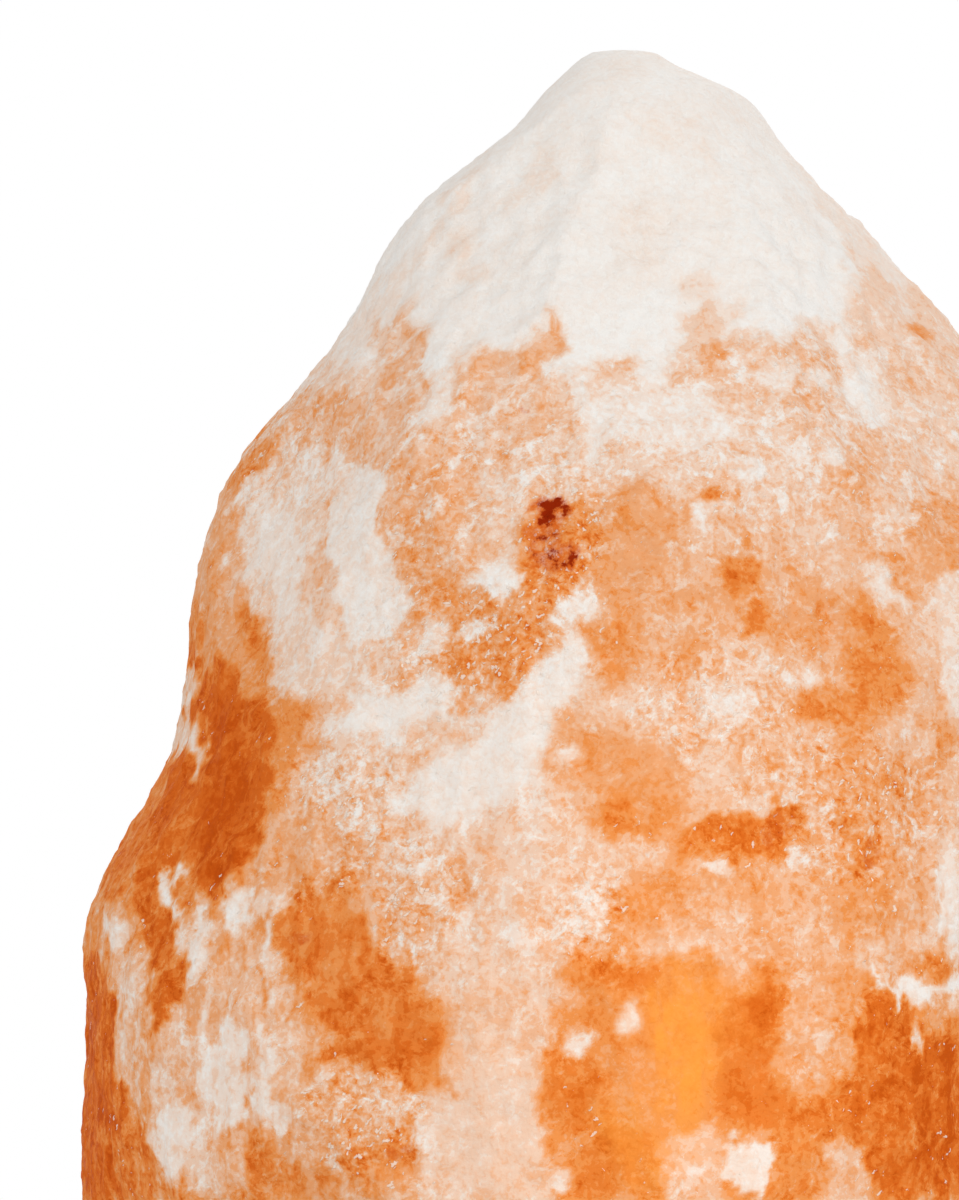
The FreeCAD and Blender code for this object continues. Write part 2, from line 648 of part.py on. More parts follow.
def terminal_hole(side):
    top = CORE_BOTTOM + TERMINAL_SCREW_LENGTH + THREAD_GAP
    return cylinder(TERMINAL_SCREW_RADIUS + THREAD_GAP, CORE_BOTTOM - 1, top, (side * TERMINAL_OFFSET, 0))


def socket_core():
    """The ceramic block between the mouldings, which carries the contacts and the terminals."""
    disc = cylinder(CORE_RADIUS, CORE_BOTTOM, CORE_TOP)
    return disc.cut([tongue_slot(), terminal_hole(-1), terminal_hole(1)])


def socket_shell():
    """The upper moulding, with a fluted grip and a bore that holds the thread liner."""
    bore = THREAD_LINER_RADIUS + THREAD_LINER_WALL + THREAD_GAP
    mouth, shoulder = SHELL_RADIUS - SHELL_MOUTH_ROUND, SHELL_TOP - SHELL_MOUTH_ROUND
    shell = turned(
        (SHELL_SKIRT_RADIUS, SHELL_BOTTOM),
        (SHELL_RADIUS, SHELL_BOTTOM),
        (SHELL_RADIUS, shoulder),
        (round_middle((mouth, shoulder), SHELL_MOUTH_ROUND, 45), (mouth, SHELL_TOP)),
        (bore, SHELL_TOP),
        (bore, LINER_BOTTOM),
        (SHELL_SKIRT_RADIUS, LINER_BOTTOM),
    )
    flute_top = SHELL_BOTTOM + SHELL_FLUTE_HEIGHT
    flute = cylinder(SHELL_FLUTE_RADIUS, SHELL_BOTTOM - 1, flute_top, (SHELL_RADIUS, 0))
    return shell.cut(around(flute, even_azimuths(SHELL_FLUTES, 0.0)))


def thread_liner():
    """The brass liner that the bulb's cap screws into. Its floor has a hole for the centre contact."""
    outer = THREAD_LINER_RADIUS + THREAD_LINER_WALL
    top, floor_top = SHELL_TOP - THREAD_LINER_RECESS, LINER_BOTTOM + THREAD_LINER_WALL
    return turned(
        (THREAD_LINER_HOLE_RADIUS, LINER_BOTTOM),
        (outer, LINER_BOTTOM),
        (outer, top),
        (THREAD_LINER_RADIUS, top),
        (THREAD_LINER_RADIUS, floor_top),
        (THREAD_LINER_HOLE_RADIUS, floor_top),
    )


def terminal_screws():
    head_bottom = CORE_BOTTOM - TERMINAL_HEAD_HEIGHT
    screws = []
    for side in (-1, 1):
        centre = (side * TERMINAL_OFFSET, 0)
        shank = cylinder(TERMINAL_SCREW_RADIUS, CORE_BOTTOM, CORE_BOTTOM + TERMINAL_SCREW_LENGTH, centre)
        head = cylinder(TERMINAL_HEAD_RADIUS, head_bottom, CORE_BOTTOM, centre)
        reach = TERMINAL_HEAD_RADIUS + 1
        slot = block(
            (centre[0] - TERMINAL_SLOT_WIDTH / 2, centre[0] + TERMINAL_SLOT_WIDTH / 2),
            (-reach, reach),
            (head_bottom - 1, head_bottom + TERMINAL_SLOT_DEPTH),
        )
        screws.append(shank.fuse(head).removeSplitter().cut(slot))
    return Part.makeCompound(screws)


def centre_contact():
    """The sprung bronze tongue under the bulb's tip, rising from its root in the core's slot."""
    root, low = -TERMINAL_OFFSET, TONGUE_BOTTOM
    crest = low + TONGUE_RISE
    shoulder, end = -BULB_TIP_RADIUS, BULB_TIP_RADIUS
    under = crest - 3 * TONGUE_THICKNESS / 2
    face = closed_face(
        (root - TONGUE_THICKNESS, low),
        (root, low),
        (shoulder, under),
        ((0, crest), (end, under)),
        (end, under + TONGUE_THICKNESS),
        ((0, crest + TONGUE_THICKNESS), (shoulder, under + TONGUE_THICKNESS)),
        (root, low + TONGUE_THICKNESS),
        (root - TONGUE_THICKNESS, low + TONGUE_THICKNESS),
    )
    tongue = face.extrude(point(0, TONGUE_WIDTH, 0))
    tongue.translate(point(0, -TONGUE_WIDTH / 2, 0))
    return tongue


# --- The bulb ---
def bulb_tip_contact():
    """The solder dome under the bulb, and its peg up into the insulator."""
    shoulder = BULB_BOTTOM + BULB_TIP_HEIGHT / 2
    dome = dome_middle(BULB_TIP_RADIUS, shoulder, -BULB_TIP_HEIGHT / 2)
    return turned(
        (0, BULB_BOTTOM), (dome, (BULB_TIP_RADIUS, shoulder)),
        (BULB_TIP_RADIUS, BULB_BOTTOM + BULB_TIP_HEIGHT), (0, BULB_BOTTOM + BULB_TIP_HEIGHT),
    )


def bulb_insulator():
    """The black glass cone between the tip and the cap, with a seat for the tip."""
    bottom = BULB_BOTTOM + BULB_TIP_HEIGHT / 2
    edge = ((BULB_TIP_RADIUS + BULB_TIP_RIM, bottom), (BULB_FOOT_RADIUS, BULB_CAP_BOTTOM))
    body = turned((0, bottom), *edge, (0, BULB_CAP_BOTTOM))
    return body.cut(cylinder(BULB_TIP_RADIUS, bottom - 1, BULB_BOTTOM + BULB_TIP_HEIGHT))


def bulb_cap():
    """The brass screw cap: a thin cup whose lower edge turns in over the insulator."""
    inner = BULB_CAP_RADIUS - BULB_CAP_WALL
    floor = BULB_CAP_BOTTOM + BULB_CAP_WALL
    return turned(
        (BULB_TIP_RADIUS, BULB_CAP_BOTTOM),
        (BULB_FOOT_RADIUS, BULB_CAP_BOTTOM),
        (BULB_CAP_RADIUS, floor + BULB_CAP_WALL),
        (BULB_CAP_RADIUS, BULB_CAP_TOP),
        (inner, BULB_CAP_TOP),
        (inner, floor + BULB_CAP_WALL),
        (BULB_FOOT_RADIUS - BULB_CAP_WALL / 2, floor),
        (BULB_TIP_RADIUS, floor),
    )


def glass_outline(inset):
    """The envelope's outline at a depth under its outer face, from the neck to the crown."""
    radius, neck = BULB_RADIUS - inset, BULB_NECK_RADIUS - inset
    shoulder = GLASS_BOTTOM + BULB_NECK_DEPTH + BULB_SHOULDER_HEIGHT
    crown = GLASS_BOTTOM + BULB_NECK_DEPTH + BULB_GLASS_HEIGHT - BULB_RADIUS
    start, end = (neck, GLASS_BOTTOM + BULB_NECK_DEPTH), (radius, shoulder)
    return (
        (neck, GLASS_BOTTOM),
        start,
        (arc_middle(start, end, -BULB_SHOULDER_SWELL), end),
        (radius, crown),
        (round_middle((0, crown), radius, 45), (0, crown + radius)),
    )


def solid_bulb(inset, bottom):
    (neck, _), *steps = glass_outline(inset)
    return turned((0, bottom), (neck, bottom), *steps)


def bulb_glass():
    """A blown envelope, open at the neck, where the stem's flare is sealed in."""
    return solid_bulb(0.0, GLASS_BOTTOM).cut(solid_bulb(BULB_WALL, GLASS_BOTTOM - 1))


def bulb_stem():
    """The flared glass tube sealed into the neck, pinched round the lead wires."""
    flare_top = GLASS_BOTTOM + STEM_FLARE_HEIGHT
    bend = arc_middle((STEM_FLARE_RADIUS, GLASS_BOTTOM), (STEM_RADIUS, flare_top), STEM_FLARE_BOW)
    flare = ((STEM_FLARE_RADIUS, GLASS_BOTTOM), (bend, (STEM_RADIUS, flare_top)))
    stem = turned((0, GLASS_BOTTOM), *flare, (STEM_RADIUS, STEM_TOP), (0, STEM_TOP))
    pinch = STEM_RADIUS / 2
    for side in (-1, 1):
        flat = sorted((side * pinch, side * 2 * STEM_RADIUS))
        stem = stem.cut(block((-BULB_RADIUS, BULB_RADIUS), flat, (flare_top + 1, STEM_TOP + 1)))
    return stem


def wire(radius, *corners):
    """A round wire through points, with a ball at each inner corner."""
    pieces = []
    for start, end in zip(corners, corners[1:]):
        run = end.sub(start)
        pieces.append(Part.makeCylinder(radius, run.Length, start, run))
    pieces += [Part.makeSphere(radius, corner) for corner in corners[1:-1]]
    return pieces[0].fuse(pieces[1:]).removeSplitter() if len(pieces) > 1 else pieces[0]


def lead_wires():
    leads = []
    for side in (-1, 1):
        foot = point(side * LEAD_FOOT_OFFSET, 0, STEM_TOP)
        knee = point(side * LEAD_FOOT_OFFSET, 0, STEM_TOP + LEAD_KNEE_HEIGHT)
        leads.append(wire(LEAD_RADIUS, foot, knee, point(side * LEAD_TOP_OFFSET, 0, LEAD_TOP)))
    return Part.makeCompound(leads)


def filament_height(x):
    """The filament hangs in a shallow bow between the tops of the lead wires."""
    return LEAD_TOP + LEAD_RADIUS + FILAMENT_RADIUS + FILAMENT_SAG * (1 - (x / LEAD_TOP_OFFSET) ** 2)


def filament():
    offsets = (-LEAD_TOP_OFFSET, -SUPPORT_OFFSET, 0.0, SUPPORT_OFFSET, LEAD_TOP_OFFSET)
    return wire(FILAMENT_RADIUS, *[point(x, 0, filament_height(x)) for x in offsets])


def filament_supports():
    """Two fine wires that stand on the stem and prop the filament."""
    supports = []
    for side in (-1, 1):
        x = side * SUPPORT_OFFSET
        foot = point(side * LEAD_FOOT_OFFSET / 3, STEM_RADIUS / 4, STEM_TOP + CONTACT_GAP)
        top = point(x, 0, filament_height(x) - FILAMENT_RADIUS - SUPPORT_RADIUS - CONTACT_GAP)
        supports.append(wire(SUPPORT_RADIUS, foot, top))
    return Part.makeCompound(supports)


def nodes():
    """Every separate piece of the lamp, by name."""
    pieces = {
        "salt_crystal": salt_crystal(),
        "wood_base": wood_base(),
        "rubber_feet": rubber_feet(),
        "base_screws": base_screws(),
        "screw_washers": screw_washers(),
        "screw_plugs": screw_plugs(),
        "bracket_plate": bracket_plate(),
        "finger_clips": finger_clips(),
        "clip_rivets": clip_rivets(),
        "cord_nipple": cord_nipple(),
        "lock_nut": lock_nut(),
        "lock_washer": lock_washer(),
        "socket_cap": socket_cap(),
        "socket_core": socket_core(),
        "socket_shell": socket_shell(),
        "thread_liner": thread_liner(),
        "terminal_screws": terminal_screws(),
        "centre_contact": centre_contact(),
        "bulb_tip_contact": bulb_tip_contact(),
        "bulb_insulator": bulb_insulator(),
        "bulb_cap": bulb_cap(),
        "bulb_glass": bulb_glass(),
        "bulb_stem": bulb_stem(),
        "lead_wires": lead_wires(),
        "filament": filament(),
        "filament_supports": filament_supports(),
    }
    for name, azimuth in zip(FINGER_NAMES, FINGER_AZIMUTHS):
        pieces["spring_finger_" + name] = at_azimuth(spring_finger(), azimuth)
    return pieces


def main():
    os.makedirs("parts", exist_ok=True)
    for name, shape in nodes().items():
        shape.exportStep(os.path.join("parts", name + ".step"))
        print(f"{name}: {len(shape.Solids)} solid(s), {shape.Volume:.1f} mm3, valid {shape.isValid()}")


main()
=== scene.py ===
"""The salt crystal lamp's looks: hewn rock salt over a turned wooden base, with its push-in bulb holder."""
import math

import bmesh
import bpy
import numpy as np
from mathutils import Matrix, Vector, noise


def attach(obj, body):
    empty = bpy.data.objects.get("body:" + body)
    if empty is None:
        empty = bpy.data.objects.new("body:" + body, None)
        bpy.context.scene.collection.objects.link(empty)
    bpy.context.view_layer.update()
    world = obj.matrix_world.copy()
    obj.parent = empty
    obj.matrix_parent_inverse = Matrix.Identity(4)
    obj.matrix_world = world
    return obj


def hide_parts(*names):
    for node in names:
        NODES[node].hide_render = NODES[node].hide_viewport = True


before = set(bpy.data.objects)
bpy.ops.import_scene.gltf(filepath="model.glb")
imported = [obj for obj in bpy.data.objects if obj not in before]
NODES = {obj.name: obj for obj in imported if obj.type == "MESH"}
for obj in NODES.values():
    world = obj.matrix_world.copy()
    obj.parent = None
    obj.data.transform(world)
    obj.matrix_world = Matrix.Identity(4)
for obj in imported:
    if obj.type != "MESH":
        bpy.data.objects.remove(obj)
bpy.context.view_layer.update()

MM = 0.001

# --- The camera's view, from the photograph ---
PHOTO_SIZE = (959, 1200)
PHOTO_MM_PER_PIXEL = 0.1367
BORE_AXIS_PIXEL = 629.0
VIEW_HEIGHT = 146.8
VIEW_DISTANCE = 1300.0
SENSOR_LONG_SIDE = 36.0
FLOOR_FADE = (180.0, 480.0)
# Each soft light: its name, its place in metres, its power and its colour.
LIGHT_SIZE = 1.3
LIGHTS = (
    ("key", (-1.1, -1.5, 1.1), 16.5, (1.0, 0.985, 0.96)),
    ("fill", (1.4, -0.9, 0.6), 12.0, (1.0, 1.0, 1.0)),
    ("back", (0.5, 1.6, 1.1), 14.0, (1.0, 0.99, 0.97)),
)
LIT_POINT = (0, 0, 0.12)
ROOM_STRENGTH = 0.55

# --- The rock, in millimetres ---
ROCK_GRID = 0.8
BEND_SIZE = 19.0
SCALLOP_SIZE = 17.0
SWELL_SIZE = 27.0
FOLD_WIDTH = 5.0
FOLD_LENGTH = 22.0
GRAIN_SIZE = 3.2
CHIP_SIZE = 5.5
FOOT_HEIGHT = 25.0
PEAK_HEIGHT = 222.0
BORE_RADIUS = 24.0
BORE_ROOF = 125.0
# The height about which the bulb's light is painted on the salt as a glow.
GLOW_HEIGHT = 76.0
NOISE_SEED = 11
SEED_SHIFT = Vector((31.7, 12.9, 47.1))
GUIDE_WARP = 2.0
GUIDE_WARP_SIZE = 4.0
# Between which places the front's drawn stains give way to the clouds around it: depth, across and up.
FRONT_TO_BACK = (14.0, -6.0)
FRONT_TO_SIDE = (53.0, 45.0)
FRONT_TO_FOOT = (59.0, 67.0)
CROWN_EDGE = (192.0, 176.0)
# How far from the bulb the painted glow fades out, in millimetres.
GLOW_REACH = (62.0, 4.0)
CROWN_STAIN = 0.045
CRUST_STAIN = 0.08
ZONE_COVER = 0.88

# --- The base's plank: where the tree's middle lay from it, and how wide a year's ring is, in millimetres ---
PITH = (0.0, 18.0, 52.0)
RING_WIDTH = 3.1

# --- The screw thread rolled into the bulb's cap and into its liner, in millimetres ---
CAP_RADIUS = 6.85
CAP_HEIGHTS = (45.95, 60.75)
CAP_FLOOR = ((5.45, 45.55, 0.0), (1.9, 45.55, 0.0), (1.9, 45.25, 0.0), (5.6, 45.25, 0.0))
LINER_RADIUS = 7.1
LINER_FLOOR = ((4.6, 42.1, 0.0), (4.6, 41.8, 0.0), (7.3, 41.8, 0.0))
LINER_OUTSIDE = (41.9, 54.4)
LINER_INSIDE = (42.1, 54.4)
THREAD_PITCH = 25.4 / 9
THREAD_RUN_IN = 1.5
THREAD_DEPTH = 0.6
SHEET_THICKNESS = 0.3
CAP_THREAD = (46.3, 57.0)
LINER_THREAD = (42.5, 53.9)
WALL_STEP = 0.2
ROUND_STEPS = 96


# --- Small helpers ---
def tone(red, green, blue):
    """The linear colour of a tone as a picture shows it, each part from 0 to 255."""
    parts = [part / 255.0 for part in (red, green, blue)]
    return tuple(p / 12.92 if p < 0.04 else ((p + 0.055) / 1.055) ** 2.4 for p in parts) + (1.0,)


def smooth(values, low, high):
    """Rises smoothly from 0 at low to 1 at high."""
    share = np.clip((values - low) / (high - low), 0.0, 1.0)
    return share * share * (3.0 - 2.0 * share)


def link(piece):
    bpy.context.scene.collection.objects.link(piece)
    return piece


def finish_piece(piece, material, body, slot, *replaced):
    """Gives a piece its finish and fixes it to its body in place of CAD nodes."""
    piece.data.materials.clear()
    piece.data.materials.append(material)
    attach(piece, body)
    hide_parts(*replaced)


# --- Laying nodes ---
class Recipe:
    """Lays the nodes of one material or group and joins them."""

    def __init__(self, tree):
        self.tree = tree

    def node(self, kind, **settings):
        made = self.tree.nodes.new("ShaderNode" + kind)
        for name, value in settings.items():
            setattr(made, name, value)
        return made

    def node_of(self, kind):
        return self.tree.nodes.new(kind)

    def effect(self, name, **values):
        """Places a shared effect with this finish's own values; gives its outputs by name."""
        made = self.node("Group", node_tree=bpy.data.node_groups[name])
        for label, value in values.items():
            self.feed(made.inputs[label], value)
        return made.outputs

    def joined(self, value):
        """The same value along all three axes."""
        made = self.node("CombineXYZ")
        for socket in made.inputs:
            self.feed(socket, value)
        return made.outputs[0]

    def feed(self, socket, source):
        if isinstance(source, bpy.types.NodeSocket):
            self.tree.links.new(source, socket)
        elif source is not None:
            socket.default_value = source

    def sum(self, kind, *sources, clamp=False):
        """Any of the Math node's sums, such as ADD or MULTIPLY."""
        made = self.node("Math", operation=kind, use_clamp=clamp)
        for socket, source in zip(made.inputs, sources):
            self.feed(socket, source)
        return made.outputs[0]

    def add(self, *sources):
        total = sources[0]
        for source in sources[1:]:
            total = self.sum("ADD", total, source)
        return total

    def times(self, *sources):
        total = sources[0]
        for source in sources[1:]:
            total = self.sum("MULTIPLY", total, source)
        return total

    def swing(self, value, amount):
        """A 0-1 value turned into a swing about zero of that amount."""
        centred = self.sum("SUBTRACT", value, 0.5)
        return self.sum("MULTIPLY", centred, amount)

    def spread(self, value, low, high, to_low=0.0, to_high=1.0):
        made = self.node("MapRange", interpolation_type="SMOOTHSTEP")
        for socket, source in zip(made.inputs, (value, low, high, to_low, to_high)):
            self.feed(socket, source)
        return made.outputs[0]

    def mix(self, share, under, over):
        """Colour over laid on colour under."""
        made = self.node("Mix", data_type="RGBA")
        for index, source in ((0, share), (6, under), (7, over)):
            self.feed(made.inputs[index], source)
        return made.outputs[2]

    def ramp(self, value, *stops):
        made = self.node("ValToRGB")
        band = made.color_ramp
        while len(band.elements) < len(stops):
            band.elements.new(0.5)
        for element, (place, colour) in zip(band.elements, stops):
            element.position = place
            element.color = colour
        self.feed(made.inputs[0], value)
        return made.outputs[0]

    def place(self):
        """Where a point lies on its piece, in millimetres."""
        made = self.node("TexCoord")
        return self.scaled(made.outputs["Object"], 1.0 / MM)

    def vector(self, kind, first, second):
        made = self.node("VectorMath", operation=kind)
        self.feed(made.inputs[0], first)
        self.feed(made.inputs[1], second)
        return made.outputs[0]

    def scaled(self, vector, factor):
        made = self.node("VectorMath", operation="SCALE")
        self.feed(made.inputs[0], vector)
        self.feed(made.inputs["Scale"], factor)
        return made.outputs[0]

    def length(self, vector):
        made = self.node("VectorMath", operation="LENGTH")
        self.feed(made.inputs[0], vector)
        return made.outputs["Value"]

    def part_along(self, vector, axis):
        """A vector's part along an axis: 0 across, 1 in depth, 2 up."""
        made = self.node("SeparateXYZ")
        self.feed(made.inputs[0], vector)
        return made.outputs[axis]

    def noise(self, where, size, detail=4.0, roughness=0.55, output=0):
        """Cloudy noise whose largest forms are about that many millimetres across."""
        made = self.node("TexNoise")
        settings = {"Vector": where, "Scale": 1.0 / size, "Detail": detail, "Roughness": roughness}
        for name, source in settings.items():
            self.feed(made.inputs[name], source)
        return made.outputs[output]

    def cells(self, where, size):
        """Cell noise: the distance to the nearest seed in cells, and a colour for each cell."""
        made = self.node("TexVoronoi")
        self.feed(made.inputs["Vector"], where)
        self.feed(made.inputs["Scale"], 1.0 / size)
        return made.outputs["Distance"], made.outputs["Color"]

    def wander(self, where, size, reach):
        """The place moved about by a few millimetres, so that straight borders wander."""
        drift = self.vector("SUBTRACT", self.noise(where, size, 2.0, output=1), (0.5, 0.5, 0.5))
        return self.vector("ADD", where, self.scaled(drift, 2.0 * reach))

    def stretch(self, where, sizes):
        """The place divided by a size along each axis."""
        return self.vector("DIVIDE", where, sizes)

    def turned(self, where, angles, sizes):
        """The place turned by three angles and then divided by a size along each axis."""
        made = self.node("Mapping", vector_type="POINT")
        self.feed(made.inputs["Vector"], where)
        made.inputs["Rotation"].default_value = angles
        return self.stretch(made.outputs[0], sizes)

    def split(self, colour):
        """A colour's red, green and blue parts."""
        made = self.node("SeparateColor")
        self.feed(made.inputs[0], colour)
        return made.outputs[:]

    def guide(self, name):
        """A painted guide's three channels and its alpha."""
        made = self.node("Attribute", attribute_name=name)
        return *self.split(made.outputs["Color"]), made.outputs["Alpha"]

    def relief(self, height, depth, under=None):
        """Small relief: a height from 0 to 1 that stands up to so many millimetres."""
        made = self.node("Bump")
        self.feed(made.inputs["Strength"], 1.0)
        self.feed(made.inputs["Distance"], depth * MM)
        self.feed(made.inputs["Height"], height)
        self.feed(made.inputs["Normal"], under)
        return made.outputs[0]


def new_finish(name, **uniform):
    """A material with its Principled shader, and the values that are the same all over."""
    material = bpy.data.materials.new(name)
    material.use_nodes = True
    shader = material.node_tree.nodes["Principled BSDF"]
    for socket, value in uniform.items():
        shader.inputs[socket.replace("_", " ")].default_value = value
    return material, Recipe(material.node_tree), shader


# --- The rock's form ---
def rock_blank():
    """The CAD rock as one even net of small faces, fit to be hewn."""
    blank = bmesh.new()
    blank.from_mesh(NODES["salt_crystal"].data)
    bmesh.ops.remove_doubles(blank, verts=blank.verts, dist=0.02 * MM)
    mesh = bpy.data.meshes.new("rock_blank")
    blank.to_mesh(mesh)
    blank.free()
    piece = link(bpy.data.objects.new("rock_blank", mesh))
    net = piece.modifiers.new("net", "REMESH")
    net.mode = "VOXEL"
    net.voxel_size = ROCK_GRID * MM
    view = bpy.context.evaluated_depsgraph_get()
    netted = bpy.data.meshes.new_from_object(piece.evaluated_get(view))
    bpy.data.objects.remove(piece)
    return netted


def points_of(mesh):
    """A mesh's points and normals, the points in millimetres."""
    points = np.empty(len(mesh.vertices) * 3)
    normals = np.empty(len(mesh.vertices) * 3)
    mesh.vertices.foreach_get("co", points)
    mesh.vertices.foreach_get("normal", normals)
    return points.reshape(-1, 3) / MM, normals.reshape(-1, 3)


def outer_skin(points):
    """1 on the rock's hewn outside, 0 on its sawn foot and in its bore."""
    from_axis = np.hypot(points[:, 0], points[:, 1])
    in_bore = (from_axis < BORE_RADIUS + 1.5) & (points[:, 2] < BORE_ROOF)
    return np.where(in_bore, 0.0, smooth(points[:, 2], FOOT_HEIGHT + 0.5, FOOT_HEIGHT + 4.0))


def hewn_depth(place):
    """How far the rock stands proud of its blank at a place, in millimetres."""
    bent = place + 3.0 * noise.noise_vector(place / BEND_SIZE)
    near, far = noise.voronoi(bent / SCALLOP_SIZE)[0][:2]
    scallop = -0.35 + 0.6 * min(near * near, 0.75)
    ridge = min(far - near, 0.2) * 0.8
    swell = 0.6 * noise.noise(place / SWELL_SIZE)
    drape = Vector((bent.x / FOLD_WIDTH, bent.y / FOLD_WIDTH, bent.z / FOLD_LENGTH))
    fold = 0.45 * noise.ridged_multi_fractal(drape, 1.0, 2.1, 3.0, 1.0, 2.0) - 0.5
    grain = 0.30 * noise.fractal(place / GRAIN_SIZE, 0.7, 2.2, 3.0)
    chip = -0.55 * max(0.0, noise.fractal(place / CHIP_SIZE + SEED_SHIFT, 0.9, 2.0, 3.0) - 0.35)
    return scallop - ridge + swell + fold + grain + chip


# --- The rock's colours, painted as guides ---
# The front's stained zones, drawn and laid in this order: how deep the stain is (0 white, 1 deepest),
# how far its border fades to each side in millimetres, then the border's corners, each across and up.
STAIN_GROUNDS = (
    (0.27, 0.8, -60, 168, -47, 175, -42, 177, -38, 179, -34, 184, -31.5, 185, -28.6, 182, -28.1, 175.3,
     -24, 175.3, -21.4, 179.6, -17, 181, -14, 180.4, -13, 184.5, -11.5, 184.5, -11, 179, -9.5, 172,
     -11, 166, -9, 161.5, -5, 161, -4, 167, 0, 170, 5, 169, 6, 173, 4, 178, 8, 181, 7, 184, 10, 188.5,
     15, 188.5, 14, 184, 18, 182, 20, 179, 24, 181, 24, 186, 28, 185, 30, 172, 38, 171, 36, 178, 33, 186,
     30, 193, 28, 200, 36, 197, 50, 182, 50, 60, -80, 60, -80, 120),
    (0.34, 3, 8, 162, 50, 165, 50, 60, -14, 60, -12, 120, -6, 140, -4, 150),
    (0.34, 3, -45, 130, -12, 118, -14, 60, -48, 60, -40, 100),
)
